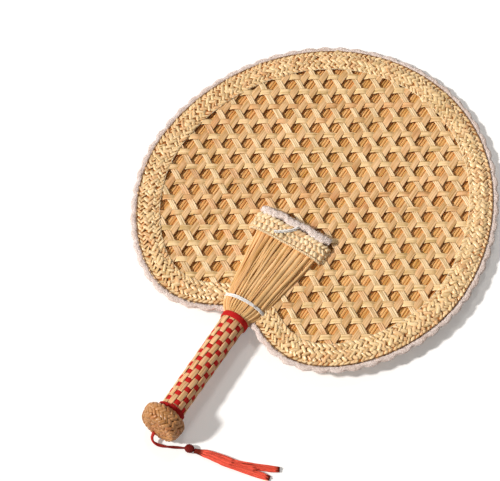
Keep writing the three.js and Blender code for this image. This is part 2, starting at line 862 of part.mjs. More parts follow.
// The fan leans on its knob and its far rim, and is centred over the origin.
const restTilt = Math.atan2(knobRadius - borderTop,
  tipAlong - borderOuterInset - borderRowChamfer - (shoulderAlong - knobWidestShare * knobLength));
fan.rotation.x = -restTilt;
fan.updateMatrixWorld(true);
const box = new THREE.Box3().setFromObject(fan, true);
const middle = box.getCenter(new THREE.Vector3());
fan.position.set(-middle.x, -middle.y, -box.min.z);
fan.updateMatrixWorld(true);

// The cord leaves the knob's end below its button; the tassel lies level on the table.
const endFace = shoulderAlong - knobLength - knobSkew * cordExitAcross;
const exit = new THREE.Vector3(cordExitAcross, endFace - cordExitGap, -cordExitBelow)
  .applyMatrix4(fan.matrixWorld);
const cord = new THREE.Group();
piece(cord, 'tassel_cord', tasselCord(), finishes.cord);
cord.position.copy(exit);
const tassel = new THREE.Group();
piece(tassel, 'tassel_knot', tasselKnot(), finishes.cord);
piece(tassel, 'tassel_skirt', tasselSkirt(), finishes.silk);
tassel.position.set(exit.x, exit.y, 0);

const part = new THREE.Group();
part.add(fan, cord, tassel);

export default part;
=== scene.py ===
"""Woven straw hand fan: the finish of every piece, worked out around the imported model.

The blade's own frame has X across the blade, Y along the handle towards the tip with zero at the red neck
tape, and Z out of the front. Lengths are metres. placed() takes points from that frame to the scene.
"""

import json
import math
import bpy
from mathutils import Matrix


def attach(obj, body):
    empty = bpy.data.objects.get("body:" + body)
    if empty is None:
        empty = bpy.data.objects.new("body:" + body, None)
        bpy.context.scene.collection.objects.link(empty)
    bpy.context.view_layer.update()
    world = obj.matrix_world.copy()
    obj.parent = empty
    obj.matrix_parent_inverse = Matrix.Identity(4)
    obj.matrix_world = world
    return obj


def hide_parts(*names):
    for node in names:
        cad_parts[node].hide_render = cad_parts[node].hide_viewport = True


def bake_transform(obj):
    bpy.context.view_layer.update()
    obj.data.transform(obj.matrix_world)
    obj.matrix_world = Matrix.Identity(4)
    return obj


bl_info = {
    "name": "Woven straw hand fan",
    "version": (1, 0, 0),
    "blender": (4, 5, 0),
    "location": "3D View > Sidebar > Straw Fan",
    "description": "Builds a woven straw hand fan with a ribbon-woven handle and a silk tassel",
    "category": "Add Mesh",
}

from collections import namedtuple

import bpy
import numpy as np
from bpy.props import FloatProperty, FloatVectorProperty, IntProperty, PointerProperty
from bpy.types import Operator, Panel, PropertyGroup
from mathutils import Matrix, Vector

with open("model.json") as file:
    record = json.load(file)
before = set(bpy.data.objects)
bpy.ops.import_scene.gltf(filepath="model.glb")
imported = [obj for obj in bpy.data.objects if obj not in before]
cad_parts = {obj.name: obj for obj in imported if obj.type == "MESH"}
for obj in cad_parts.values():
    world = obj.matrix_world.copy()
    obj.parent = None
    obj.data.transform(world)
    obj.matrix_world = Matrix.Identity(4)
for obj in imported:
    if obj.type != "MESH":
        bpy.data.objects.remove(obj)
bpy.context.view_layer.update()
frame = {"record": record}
RIM_REST = next(mount for mount in frame["record"]["mounts"] if mount["name"] == "rim_rest")

# Shares of the half width or of a height that set how full each curve of the outline is
TIP_FULLNESS_SHARE = 0.567
SHOULDER_SHARE = 0.539
HIP_SHARE = 0.49
LOBE_OUTER_SHARE = 0.492
LOBE_INNER_SHARE = 0.51
NOTCH_FULLNESS_SHARE = 0.25
RIM_SAMPLES = 960

# Place of the rest mount in the blade's frame
RIM_REST_ALONG = 0.2989
RIM_REST_DEPTH = 0.004

# Camera in the blade's frame, as the photograph sees it
CAMERA_PLACE = (0.4702234, -0.7314898, 1.6462051)
CAMERA_AZIMUTH = math.radians(31.852)
CAMERA_ELEVATION = math.radians(60.037)
CAMERA_LENS = 157.8133
SENSOR_WIDTH = 36


def size(name, description, default):
    return FloatProperty(name=name, description=description, default=default, unit="LENGTH", precision=4)


def value(name, description, default, unit="NONE"):
    return FloatProperty(name=name, description=description, default=default, unit=unit)


def count(name, description, default):
    return IntProperty(name=name, description=description, default=default, min=1)


def colour(name, description, default):
    return FloatVectorProperty(name=name, description=description, default=default, subtype="COLOR",
                               min=0, max=1)


class FanBlade(PropertyGroup):
    """Outline and layers of the blade."""

    half_width: size("Half width", "From the handle's axis to the rim", 0.1578)
    tip_along: size("Tip", "From the neck tape to the tip", 0.3073)
    widest_along: size("Widest place", "From the neck tape to the widest place", 0.1254)
    lobe_offset: size("Lobe offset", "From the axis to each lobe's lowest place", 0.057)
    lobe_along: size("Lobe drop", "Height of the lobes' lowest place", -0.0105)
    notch_along: size("Notch", "Height of the notch between the lobes", 0.008)
    trim_width: size("Trim width", "Width of the rim's soft trim", 0.005)
    row_width: size("Row width", "Width of one plaited row", 0.0065)
    row_start: size("Row start", "From the rim to the outermost row", 0.0053)
    base_height: size("Layer height", "From the middle plane to the layers on it", 0.0013)
    straw_pitch: size("Straw pitch", "Spacing of the mat's straws", 0.0025)
    mat_straw: colour("Mat straw", "Colour of the mat", (0.78, 0.43, 0.14))
    # Painted shade: a dark sheet in the mat stands for the shade in the gaps between its straws
    mat_gap_shade: colour("Mat shade sheet", "Colour between the mat's straws", (0.5, 0.17, 0.04))


class FanWeave(PropertyGroup):
    """Open three-way weave on the front."""

    repeat: size("Repeat", "From one opening to the next along the handle", 0.0185)
    pitch: size("Column pitch", "From one column of openings to the next", 0.01445)
    long_width: size("Lengthwise strip", "Width of the strips along the handle", 0.0057)
    rising_width: size("Rising strip", "Width of the strips that rise to the right", 0.0056)
    falling_width: size("Falling strip", "Width of the strips that fall to the right", 0.0051)
    across: size("Weave across", "One opening's place across the blade", 0.0022)
    along: size("Weave along", "That opening's place along the blade", 0.1748)
    thickness: size("Strip thickness", "Thickness of one strip", 0.0007)
    middle: size("Weave height", "Height over the middle plane", 0.0026)
    lift: size("Weave lift", "How far a strip rises and dips at crossings", 0.0008)
    inset: size("Weave inset", "From the rim to the strips' ends", 0.0232)
    long_straw: colour("Lengthwise straw", "Colour of the strips along the handle", (0.76, 0.46, 0.2))
    # Painted highlight: the rising and falling straws are lighter than the lengthwise ones for the light they
    # catch
    rising_straw_with_highlight: colour("Rising straw", "Colour of the rising strips", (0.84, 0.57, 0.26))
    falling_straw_with_highlight: colour("Falling straw", "Colour of the falling strips", (0.9, 0.65, 0.35))


class FanBorder(PropertyGroup):
    """Plaited rows, trims and bands."""

    plait_pitch: size("Plait pitch", "From one straw of a plait to the next", 0.0047)
    straw_length: size("Plait straw length", "Length of a plaited straw that shows", 0.0066)
    straw_width: size("Plait straw width", "Width of a plaited straw", 0.0036)
    straw_height: size("Plait straw height", "Thickness of a plaited straw", 0.0021)
    scallop: size("Scallop", "From one wave of the trim to the next", 0.015)
    scallop_depth: size("Scallop depth", "How far the trim's waves reach", 0.0022)
    trim_height: size("Trim height", "Thickness of the rim's soft trim", 0.0036)
    wisps: count("Wisps", "Number of loose fibres on the rim's trim", 8000)
    plait: colour("Plaited straw", "Colour of the border's straw", (0.84, 0.59, 0.29))
    trim: colour("Trim", "Colour of the soft trim", (0.94, 0.81, 0.76))
    # Painted shade: the dark threads beside the rim's trim and under the straps' rolls stand for the shade in
    # those steps
    seam: colour("Seam", "Colour of the thread beside the trim", (0.3, 0.16, 0.07))
    # Painted shade: the dark base under the plaited straws stands for the shade in the crevices between them
    crevice_shade: colour("Crevices", "Colour under the plaited straws", (0.5, 0.19, 0.05))
    strap: colour("Strap straw", "Colour of the straps' straw", (0.9, 0.7, 0.42))
    stitch: colour("Stitch", "Colour of the stitched edges", (0.93, 0.74, 0.48))


class FanBrace(PropertyGroup):
    """Straws that splay over the blade, and the strap over their ends."""

    start: size("Brace start", "Where the straws leave the neck tape", 0.0025)
    thread_along: size("Thread place", "Where the white thread ties the straws", 0.0167)
    thread_half_width: size("Width at the thread", "Half width there", 0.0194)
    thread_depth: size("Depth at the thread", "Depth there", 0.0112)
    end: size("Brace end", "Where the straws end under the strap", 0.101)
    end_half_width: size("End width", "Half width at the end", 0.032)
    end_depth: size("End depth", "Depth at the end", 0.0074)
    band_along: size("Strap start", "Where the strap starts", 0.083)
    band_half_width: size("Strap half width", "Half width of the strap", 0.0356)
    band_shift: size("Strap shift", "How far the strap lies to the left", 0.0012)
    straws: count("Straws", "Number of straws across one brace", 23)
    straw: colour("Brace straw", "Colour of the splayed straws", (0.77, 0.465, 0.19))
    # Painted shade: the dark colour under the splayed straws stands for the shade seen between them
    core: colour("Brace core", "Colour under the splayed straws", (0.3, 0.12, 0.03))
    thread: colour("White thread", "Colour of the thread round the brace", (0.93, 0.91, 0.89))


class FanHandle(PropertyGroup):
    """Straw stakes and the ribbon woven through them."""

    grip_radius: size("Grip radius", "Radius of the grip at the neck", 0.0116)
    grip_end_radius: size("Grip end radius", "Radius of the grip at the knob", 0.0111)
    shoulder_along: size("Knob shoulder", "Where the knob starts", -0.1037)
    stakes: count("Stakes", "Number of straw stakes", 13)
    stake_width: size("Stake width", "Width of a stake", 0.0046)
    ribbon_pitch: size("Ribbon pitch", "From one turn of the ribbon to the next", 0.00715)
    ribbon_width: size("Ribbon width", "Width of the ribbon", 0.0046)
    ribbon_start: size("Ribbon start", "Where the first turn starts", -0.006)
    window: size("Window height", "Height of the places where the ribbon shows", 0.0038)
    core_radius: size("Core radius", "Radius of the packed straw inside", 0.0088)
    cord_turns: count("Cord turns", "Turns of the thin cord above the knob", 4)
    straw: colour("Grip straw", "Colour of the stakes", (0.77, 0.45, 0.205))
    # Painted shade: the dark colour inside the stakes stands for the shade seen between them
    core: colour("Grip core", "Colour between the stakes", (0.25, 0.07, 0.02))
    rod: colour("Rod", "Colour of the bamboo rod inside", (0.6, 0.4, 0.18))
    ribbon: colour("Ribbon", "Colour of the ribbon and the tapes", (0.6, 0.01, 0.008))


class FanKnob(PropertyGroup):
    """Plaited knob at the handle's end."""

    radius: size("Knob radius", "Radius where it is widest", 0.018)
    length: size("Knob length", "Length of the knob", 0.0144)
    skew: value("Skew", "How far the knob's end leans to one side", 0.07)
    offset: size("Offset", "How far the knob sits to the left", 0.0008)
    rows: count("Rows", "Rows of plaited straws", 8)
    spacing: size("Straw spacing", "From one straw of a row to the next", 0.0042)
    # Painted shade: the dark colour under the knob's straws stands for the shade seen between them
    core: colour("Knob core", "Colour between the knob's straws", (0.3, 0.12, 0.03))
    # Painted shade: the knob's straw is made darker for the shade on the knob's lower side
    plait: colour("Knob plait", "Colour of the knob's straw", (0.47, 0.205, 0.05))


class FanTassel(PropertyGroup):
    """Cord, knot and silk."""

    cord_diameter: size("Cord diameter", "Diameter of the doubled cord", 0.0018)
    cord_length: size("Cord length", "From the knob to the cord's end in the silk", 0.0603)
    knot_radius: size("Knot radius", "Radius of the knot", 0.004)
    skirt_length: size("Silk length", "From the knot's middle to the silk's end", 0.077)
    skirt_half_width: size("Silk half width", "Half width of the silk", 0.005)
    skirt_thickness: size("Silk thickness", "Thickness of the silk as it lies", 0.006)
    heading: value("Heading", "Direction of the silk on the table", 0.25, "ROTATION")
    cord: colour("Cord", "Colour of the cord and the knot", (0.52, 0.03, 0.02))
    silk: colour("Silk", "Colour of the silk", (1.0, 0.125, 0.07))


class FanStage(PropertyGroup):
    """Floor and light."""

    floor_half: size("Floor half width", "Half width of the floor", 4.0)
    sun_strength: value("Key light", "Strength of the key light", 3.45)
    sun_softness: value("Softness", "Apparent size of the key light", math.radians(6), "ROTATION")
    glint_strength: value("Second light", "Strength of the light from behind", 0.4)
    sky_strength: value("Fill light", "Strength of the light from all round", 0.17)
    sky: colour("Fill colour", "Colour of the light from all round", (1.0, 0.9, 0.8))
    floor: colour("Floor", "Colour of the floor", (0.93, 0.93, 0.93))


# Frames and lines

BLADE_NORMAL = -np.array(RIM_REST["axis"])
BLADE_NORMAL /= np.linalg.norm(BLADE_NORMAL)
BLADE_ACROSS = np.array((1.0, 0, 0))
BLADE_ALONG = np.cross(BLADE_NORMAL, BLADE_ACROSS)
BLADE_AXES = np.stack([BLADE_ACROSS, BLADE_ALONG, BLADE_NORMAL])
BLADE_ORIGIN = np.array(RIM_REST["pos_m"]) - RIM_REST_ALONG * BLADE_ALONG + RIM_REST_DEPTH * BLADE_NORMAL
UP = np.array((0, 0, 1.0))
ALONG = np.array((0, 1.0, 0))


def sizes_of(name):
    return getattr(bpy.context.scene, "fan_" + name)


def placed(points):
    """Points of the blade's frame in the scene: the origin plus each coordinate times its axis."""
    return BLADE_ORIGIN + points @ BLADE_AXES


def unit(vectors):
    return vectors / np.maximum(np.linalg.norm(vectors, axis=-1, keepdims=True), 1e-12)


def full_turn(samples):
    return np.arange(samples) * 2 * np.pi / samples


def wander(along, wavelength, rng, terms=5):
    """A smooth random wave of about -1 to 1 for each row: sines of nearby wavelengths with random phases."""
    shape = along.shape[:-1] + (1,)
    total = np.zeros(along.shape)
    for _ in range(terms):
        stretch = rng.uniform(0.7, 1.6, shape)
        phase = rng.uniform(0, 2 * np.pi, shape)
        total += np.sin(2 * np.pi * along / (wavelength * stretch) + phase)
    return total / math.sqrt(2 * terms)


def plateau(wave, steepness=2.2):
    """Flattens a cosine's crests: its hyperbolic tangent, scaled back to one."""
    return np.tanh(steepness * wave) / math.tanh(steepness)


def bezier(a, b, c, d, samples):
    """A cubic curve: the four points weighted by the cubic Bernstein weights."""
    t = np.linspace(0, 1, samples)[:, None]
    return (1 - t) ** 3 * a + 3 * (1 - t) ** 2 * t * b + 3 * (1 - t) * t ** 2 * c + t ** 3 * d


def looped(line, closed):
    return np.concatenate([line, line[:1]]) if closed else line


def reach_of(line):
    """The distance along a line from its start to each of its points."""
    return np.append(0, np.cumsum(np.linalg.norm(np.diff(line, axis=0), axis=1)))


def between(wanted, places, rows):
    """Rows read at wanted places, in straight lines between their own places."""
    return np.stack([np.interp(wanted, places, column) for column in rows.T], -1)


def spaced(line, samples, closed=False):
    """A line resampled at equal steps along its length."""
    full = looped(line, closed)
    reach = reach_of(full)
    return between(np.linspace(0, reach[-1], samples, endpoint=not closed), reach, full)


def inset_line(distance):
    """The outline moved inwards: each point goes square to the run between its neighbours.

    The outline runs from the tip clockwise: three cubic curves for the right half, and their mirror.
    """
    blade = sizes_of("blade")
    half, top, wide = blade.half_width, blade.tip_along, blade.widest_along
    lobe, low, notch = blade.lobe_offset, blade.lobe_along, blade.notch_along
    corners = np.array((
        (0, top), (TIP_FULLNESS_SHARE * half, top), (half, wide + SHOULDER_SHARE * (top - wide)),
        (half, wide),
        (half, wide - HIP_SHARE * (wide - low)), (lobe + LOBE_OUTER_SHARE * (half - lobe), low), (lobe, low),
        (lobe * (1 - LOBE_INNER_SHARE), low), (lobe * NOTCH_FULLNESS_SHARE, notch), (0, notch)))
    right = np.concatenate([bezier(*corners[first:first + 4], RIM_SAMPLES)[:-1] for first in (0, 3, 6)]
                           + [corners[-1:]])
    line = spaced(np.concatenate([right, right[-2:0:-1] * (-1, 1)]), RIM_SAMPLES, True)
    run = unit(np.roll(line, -1, 0) - np.roll(line, 1, 0))
    return spaced(line + distance * np.stack([run[:, 1], -run[:, 0]], -1), RIM_SAMPLES, True)


class Path:
    """A line in space with a frame: the way along it, the way across it and the way out of its surface."""

    def __init__(self, points, outward, closed=False):
        self.points, self.closed = points, closed
        run = np.roll(points, -1, 0) - np.roll(points, 1, 0) if closed else np.gradient(points, axis=0)
        self.tangent = unit(run)
        self.outward = unit(np.broadcast_to(outward, points.shape).astype(float))
        self.reach = reach_of(looped(points, closed))
        self.length = self.reach[-1]

    def steps(self, stations):
        return np.linspace(0, self.length, stations, endpoint=not self.closed)

    def at(self, along):
        """Point, tangent, side and outward direction at distances along the line, read between its points."""
        point, tangent, outward = (between(along, self.reach, looped(rows, self.closed))
                                   for rows in (self.points, self.tangent, self.outward))
        tangent = unit(tangent)
        outward = unit(outward - (outward * tangent).sum(-1, keepdims=True) * tangent)
        return point, tangent, np.cross(outward, tangent), outward


def rim_path(inset, height=0.0):
    """The outline at an inset and a height, as a closed path whose side points away from the middle."""
    return Path(np.insert(inset_line(inset), 2, height, axis=1), UP, True)


def round_handle(angle):
    """Outward and sideways directions at angles round the handle, from the front to the right."""
    sine, cosine, none = np.sin(angle), np.cos(angle), np.zeros(np.shape(angle))
    return np.stack([sine, none, cosine], -1), np.stack([cosine, none, -sine], -1)


def handle_path(angle, radius, along, closed=False):
    """A line round the handle: the outward direction times the radius, at places along the handle."""
    out = round_handle(angle)[0]
    points = np.reshape(radius, (-1, 1)) * out
    points[:, 1] = along
    return Path(points, out, closed)


# Meshes from arrays

FLOOR_GAP = 0.00005
SIDES = (("front", 1), ("back", -1))
Shell = namedtuple("Shell", "points quads quad_uv triangles triangle_uv tint")


def joined(*shells):
    """Several shells as one, with their face indices moved past the points before them."""
    starts = np.cumsum([0] + [len(shell.points) for shell in shells[:-1]])
    moved = [shell._replace(quads=shell.quads + start, triangles=shell.triangles + start)
             for shell, start in zip(shells, starts)]
    return Shell(*map(np.concatenate, zip(*moved)))


def rings_on(points, side, out, section):
    """A profile of (side, outward) distances at each point: the point plus each distance times its way."""
    return points[..., None, :] + section[..., :1] * side[..., None, :] + section[..., 1:] * out[..., None, :]


def tubes(rings, around, along, tint=0.0, closed=False, tips=None):
    """Closed tubes over rings of points.

    rings has the shape (tubes, stations, ring points, 3). Each ring joins the next by quads, and the ends
    close in a fan about their middle or about the given tips. around holds the distance round the ring, with
    one value more than the ring has points, and along the distance of each station, as surface coordinates.
    tint holds one value, one a tube, or one a station.
    """
    number, stations, ring, _ = rings.shape
    rows = stations if closed else stations - 1
    index = np.arange(number * stations * ring).reshape(number, stations, ring)
    beside = np.roll(index, -1, 2)
    quads = np.stack([index, beside, np.roll(beside, -1, 1), np.roll(index, -1, 1)], -1)[:, :rows]
    around = np.broadcast_to(around, (number, ring + 1))[:, None]
    along = np.broadcast_to(along, (number, stations))
    step = np.diff(along, axis=1)
    ahead = along[:, :rows] + (step[:, :1] if closed else step)
    left, right, along = around[..., :-1], around[..., 1:], along[..., None]
    u = np.stack([left, right, right, left], -1)
    v = np.stack([along[:, :rows], along[:, :rows], ahead[..., None], ahead[..., None]], -1)
    quad_uv = np.stack(np.broadcast_arrays(u, v), -1)
    values = np.broadcast_to(tint if np.ndim(tint) == 2 else np.reshape(tint, (-1, 1)), (number, stations))
    faces = quads.reshape(-1, 4), quad_uv.reshape(-1, 4, 2)
    tints = np.repeat(values.ravel(), ring)
    if closed:
        return Shell(rings.reshape(-1, 3), *faces, np.zeros((0, 3), int), np.zeros((0, 3, 2)), tints)
    ends = [0, -1]
    tips = rings[:, ends].mean(2) if tips is None else tips
    tip = index.size + np.arange(2 * number).reshape(number, 2, 1)
    corners = np.stack([beside[:, 0], index[:, -1]]), np.stack([index[:, 0], beside[:, -1]])
    fans = np.stack(np.broadcast_arrays(*corners, tip.swapaxes(0, 1)), -1)
    fan_uv = np.stack(np.broadcast_arrays(np.stack([left, right, left], -1), along[:, ends, :, None]), -1)
    return Shell(np.concatenate([rings.reshape(-1, 3), tips.reshape(-1, 3)]), *faces, fans.reshape(-1, 3),
                 fan_uv.swapaxes(0, 1).reshape(-1, 3, 2), np.concatenate([tints, values[:, ends].ravel()]))


def swept(path, stations, section, tint=0.0):
    """A profile of (side, outward) distances carried along a path; the profile may differ at each station."""
    along = path.steps(stations)
    point, _, side, outward = path.at(along)
    section = np.broadcast_to(section, (stations,) + section.shape[-2:])
    edge = np.linalg.norm(np.diff(section, axis=1, append=section[:, :1]), axis=-1).mean(0)
    return tubes(rings_on(point, side, outward, section)[None], np.append(0, np.cumsum(edge)), along,
                 np.broadcast_to(tint, (1, stations)), path.closed)


def oval(width, height, sides, squareness=2.0, turn=0.0):
    """A closed profile: a superellipse of that squareness, as (side, outward) distances from its middle."""
    angle = full_turn(sides) + turn
    way = np.stack([np.cos(angle), np.sin(angle)], -1)
    return np.sign(way) * np.abs(way) ** (2 / squareness) * (width / 2, height / 2)


LUMP_STATIONS = np.array((-0.93, -0.7, -0.25, 0.25, 0.7, 0.93))
LUMP_SIDES = 8
LUMP_SHIFT = 0.0137


def lumps(centres, long_way, cross_way, out_way, half_length, half_width, half_height, tint):
    """Rounded straw ends: at a share t of the half length, an oval scaled by the cube root of 1 - |t|^3."""
    length, width, height = (np.broadcast_to(half, len(centres))[:, None]
                             for half in (half_length, half_width, half_height))
    reach = (length * LUMP_STATIONS)[..., None] * long_way[:, None]
    scale = (1 - np.abs(LUMP_STATIONS) ** 3) ** (1 / 3)
    section = np.stack([width * scale, height * scale], -1)[:, :, None] * oval(2, 2, LUMP_SIDES)
    rings = rings_on(centres[:, None] + reach, cross_way[:, None], out_way[:, None], section)
    tips = np.stack([centres - length * long_way, centres + length * long_way], 1)
    shift = np.arange(len(centres))[:, None] * LUMP_SHIFT
    around = np.arange(LUMP_SIDES + 1) * np.mean(half_width) * 2 * np.pi / LUMP_SIDES
    return tubes(rings, around + shift, LUMP_STATIONS * np.mean(half_length) + shift, tint, tips=tips)


PLACE_SPREAD, LEAN_SPREAD, ROLL_SPREAD = 0.1, 0.14, 0.2
RISE_SPREAD, GIRTH_SPREAD, LENGTH_SPREAD = 0.0002, 0.12, 0.1


def plait(path, rng, width, pitch, length, girth, thickness, columns=2, lean=math.radians(42), crown=0.35,
          height=0.0, slope=0.0):
    """Straws of a flat plait: slanting lumps in columns that lean one way and then the other.

    Each column's straws are half a pitch behind the last column's. A lump lies along the path's way turned by
    the lean, and is rolled by the crown so that it tucks under the next column.
    """
    number = round(path.length / pitch)
    step = path.length / number
    parts = []
    for column in range(columns):
        sign = 1 if column % 2 else -1
        along = (np.arange(number) + 0.5 * (column % 2) + 0.25) * step
        along = np.clip(along + rng.normal(0, PLACE_SPREAD, number) * step, 0, path.length)
        point, tangent, side, outward = path.at(along)
        place = ((column + 0.5) / columns - 0.5) * width
        tilt = lean + rng.normal(0, LEAN_SPREAD, number)[:, None]
        long_way = tangent * np.cos(tilt) + sign * side * np.sin(tilt)
        cross_way = np.cross(outward, long_way)
        roll = crown * sign + slope + rng.normal(0, ROLL_SPREAD, number)[:, None]
        rise = height + slope * place + rng.normal(0, RISE_SPREAD, number)[:, None]
        wide = rng.normal(1, GIRTH_SPREAD, number)
        parts.append(lumps(point + place * side + rise * outward, long_way,
                           cross_way * np.cos(roll) + outward * np.sin(roll),
                           outward * np.cos(roll) - cross_way * np.sin(roll),
                           length / 2 * rng.normal(1, LENGTH_SPREAD, number), girth / 2 * wide, thickness / 2,
                           rng.random(number)))
    return joined(*parts)


def twisted(path, radius, girth, pitch, rng, stations, sides=8, number=2, tint=0.0):
    """Strands laid round each other: each circles the path once a pitch, a share of a turn from the next."""
    along = path.steps(stations)
    point, _, side, outward = path.at(along)
    reach = np.broadcast_to(radius, stations)[:, None]
    section = oval(1.0, 1.0, sides) * np.broadcast_to(girth, stations)[:, None, None]
    parts = []
    for strand in range(number):
        angle = 2 * np.pi * (along / pitch + strand / number) + 0.2 * wander(along, pitch * 3, rng)
        points = point + reach * (np.cos(angle)[:, None] * side + np.sin(angle)[:, None] * outward)
        parts.append(swept(Path(points, outward), stations, section, tint))
    return joined(*parts)


def volume_of(points, quads, triangles):
    """Signed volume: a sixth of the sum of each triangle's corner against the cross product of the others."""
    a, b, c = np.concatenate([quads[:, :3], quads[:, [0, 2, 3]], triangles]).T
    return (points[a] * np.cross(points[b], points[c])).sum() / 6


def add_piece(name, shell, material, replaces=(), body="fan", sign=1, in_blade_frame=True):
    """Makes the object of a shell, with faces pointing out, and lets it ride on its body.

    A sign of -1 turns the piece half round the handle's axis, from the front to the back.
    """
    points = placed(shell.points * (sign, 1, sign)) if in_blade_frame else shell.points
    points[:, 2] = np.maximum(points[:, 2], FLOOR_GAP)
    _, quads, quad_uv, triangles, triangle_uv, tint = shell
    if volume_of(points, quads, triangles) < 0:
        quads, quad_uv, triangles, triangle_uv = (
            array[:, ::-1] for array in (quads, quad_uv, triangles, triangle_uv))
    mesh = bpy.data.meshes.new(name)
    corners = np.concatenate([quads.ravel(), triangles.ravel()]).astype(np.int32)
    starts = np.concatenate([np.arange(len(quads)) * 4, quads.size + np.arange(len(triangles)) * 3])
    uv = np.concatenate([quad_uv.ravel(), triangle_uv.ravel()])
    mesh.vertices.add(len(points))
    mesh.vertices.foreach_set("co", points.astype(np.float32).ravel())
    mesh.loops.add(len(corners))
    mesh.loops.foreach_set("vertex_index", corners)
    mesh.polygons.add(len(starts))
    mesh.polygons.foreach_set("loop_start", starts.astype(np.int32))
    mesh.polygons.foreach_set("use_smooth", np.ones(len(starts), bool))
    mesh.uv_layers.new(name="UVMap").data.foreach_set("uv", uv.astype(np.float32))
    mesh.attributes.new("tint", "FLOAT", "POINT").data.foreach_set("value", tint.astype(np.float32))
    mesh.update(calc_edges=True)
    mesh.materials.append(material)
    piece = bpy.data.objects.new(name, mesh)
    bpy.context.scene.collection.objects.link(piece)
    if body:
        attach(piece, body)
    if replaces:
        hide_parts(*replaces)
    return piece


def add_both(*pieces):
    """Adds pieces on the front and again, turned over, on the back: (name, shell, material, slot, node); the
    slot is not used.
    """
    for side, sign in SIDES:
        for name, shell, material, slot, node in pieces:
            add_piece(f"{side}_{name}", shell, material, [f"{side}_{node}"] if node else (), sign=sign)


# Shader groups and materials

class Socket:
    """An output of a node. Arithmetic on it adds math nodes."""

    def __init__(self, tree, output):
        self.tree, self.output = tree, output

    def math(self, operation, other=0.0):
        return wire(self.tree, "ShaderNodeMath", {0: self, 1: other}, operation=operation)

    def __add__(self, other):
        return self.math("ADD", other)

    def __mul__(self, other):
        return self.math("MULTIPLY", other)

    def eased(self, low, high):
        """Zero up to low, one from high on, and a smooth step between."""
        return wire(self.tree, "ShaderNodeMapRange", {"Value": self, "From Min": low, "From Max": high},
                    interpolation_type="SMOOTHSTEP")

    def toned(self, saturation, brightness):
        return wire(self.tree, "ShaderNodeHueSaturation",
                    {"Saturation": saturation, "Value": brightness, "Color": self})

    def mixed(self, first, second, blend="MIX"):
        """The first colour, or the second as far as this socket says."""
        return wire(self.tree, "ShaderNodeMix", {"Factor": self, 6: first, 7: second}, 2, data_type="RGBA",
                    blend_type=blend)


def wire(tree, kind, feeds=None, output=0, **settings):
    """Adds a node, sets its properties, feeds its inputs with values or sockets, and gives one output."""
    made = tree.nodes.new(kind)
    for key, setting in settings.items():
        setattr(made, key, setting)
    for key, feed in (feeds or {}).items():
        if isinstance(feed, Socket):
            tree.links.new(feed.output, made.inputs[key])
        else:
            made.inputs[key].default_value = feed
    return Socket(tree, made.outputs[output])


def noise(vector, scale, detail=2.0, roughness=0.5):
    """Noise at one scale, or at its own scales across, along and out of the surface."""
    if isinstance(scale, tuple):
        stretch = wire(vector.tree, "ShaderNodeCombineXYZ", dict(enumerate(scale)))
        vector = wire(vector.tree, "ShaderNodeVectorMath", {0: vector, 1: stretch}, operation="MULTIPLY")
        scale = 1.0
    return wire(vector.tree, "ShaderNodeTexNoise",
                {"Vector": vector, "Scale": scale, "Detail": detail, "Roughness": roughness})


def straw_look(surface, base, tint, fibre, streaks, shine, rib, groove):
    """Split straw: fine fibres and broad streaks along the straw, slow blotches, small dark flecks, and
    painted shade in the grooves between ribs.
    """
    fine = noise(surface, (fibre, fibre * 0.02), 3.0, 0.6)
    broad = noise(surface, (fibre * 0.3, fibre * 0.006), 1.0)
    fleck = noise(surface, (900.0, 260.0, 1.0), 1.0).eased(0.7, 0.78)
    shade = fine.eased(0.3, 0.7) * 0.4 + broad.eased(0.36, 0.64) * 0.6
    tone = noise(surface, (90.0, 45.0, 1.0)).eased(0.25, 0.75).mixed(base.toned(1.25, 0.55), base)
    tone = (shade * streaks).mixed(tone, base.toned(0.86, 1.36))
    warm = tint.math("POWER", 3.0).mixed(tone, (0.74, 0.36, 0.13, 1), "MULTIPLY")
    share = wire(surface.tree, "ShaderNodeSeparateXYZ", {0: surface}).math("DIVIDE", rib).math("FRACT")
    # Painted shade: the colour darkens towards each rib's edge, in the grooves between ribs; the same mask
    # lowers the bump there
    groove_bump_and_shade = share.math("SUBTRACT", 0.5).math("ABSOLUTE").eased(0.3, 0.5) * groove
    dark = (fleck * 0.35).math("MAXIMUM", groove_bump_and_shade)
    tone = dark.mixed((tint * 0.5).mixed(tone, warm), (0.24, 0.07, 0.01, 1))
    return tone, fine.eased(0.2, 0.8) * 0.2 + shine, broad * 0.6 + fine * 0.6 + groove_bump_and_shade * -1.5


def strand_look(surface, base, tint, ring, run, shine):
    """Twisted strands: slanting ridges from the sine of the distance round plus the distance along, darker
    between the ridges as painted shade.
    """
    across, along = (wire(surface.tree, "ShaderNodeSeparateXYZ", {0: surface}, axis) for axis in (0, 1))
    phase = across * ring + along * run + noise(surface, (700.0, 300.0, 1.0)) * 1.6
    ridge = phase.math("SINE").math("ABSOLUTE")
    fibre = noise(surface, (6000.0, 1500.0, 1.0))
    # Painted shade: the colour darkens between the ridges, where the strands meet
    tone = ridge.eased(0.0, 0.75).mixed(base.toned(1.1, 0.5), base)
    tone = (fibre.eased(0.35, 0.75) * 0.6).mixed(tone, base.toned(0.92, 1.25))
    return tint.mixed(tone, tone.toned(1.1, 0.1)), fibre * 0.25 + shine, fibre * 0.3 + ridge


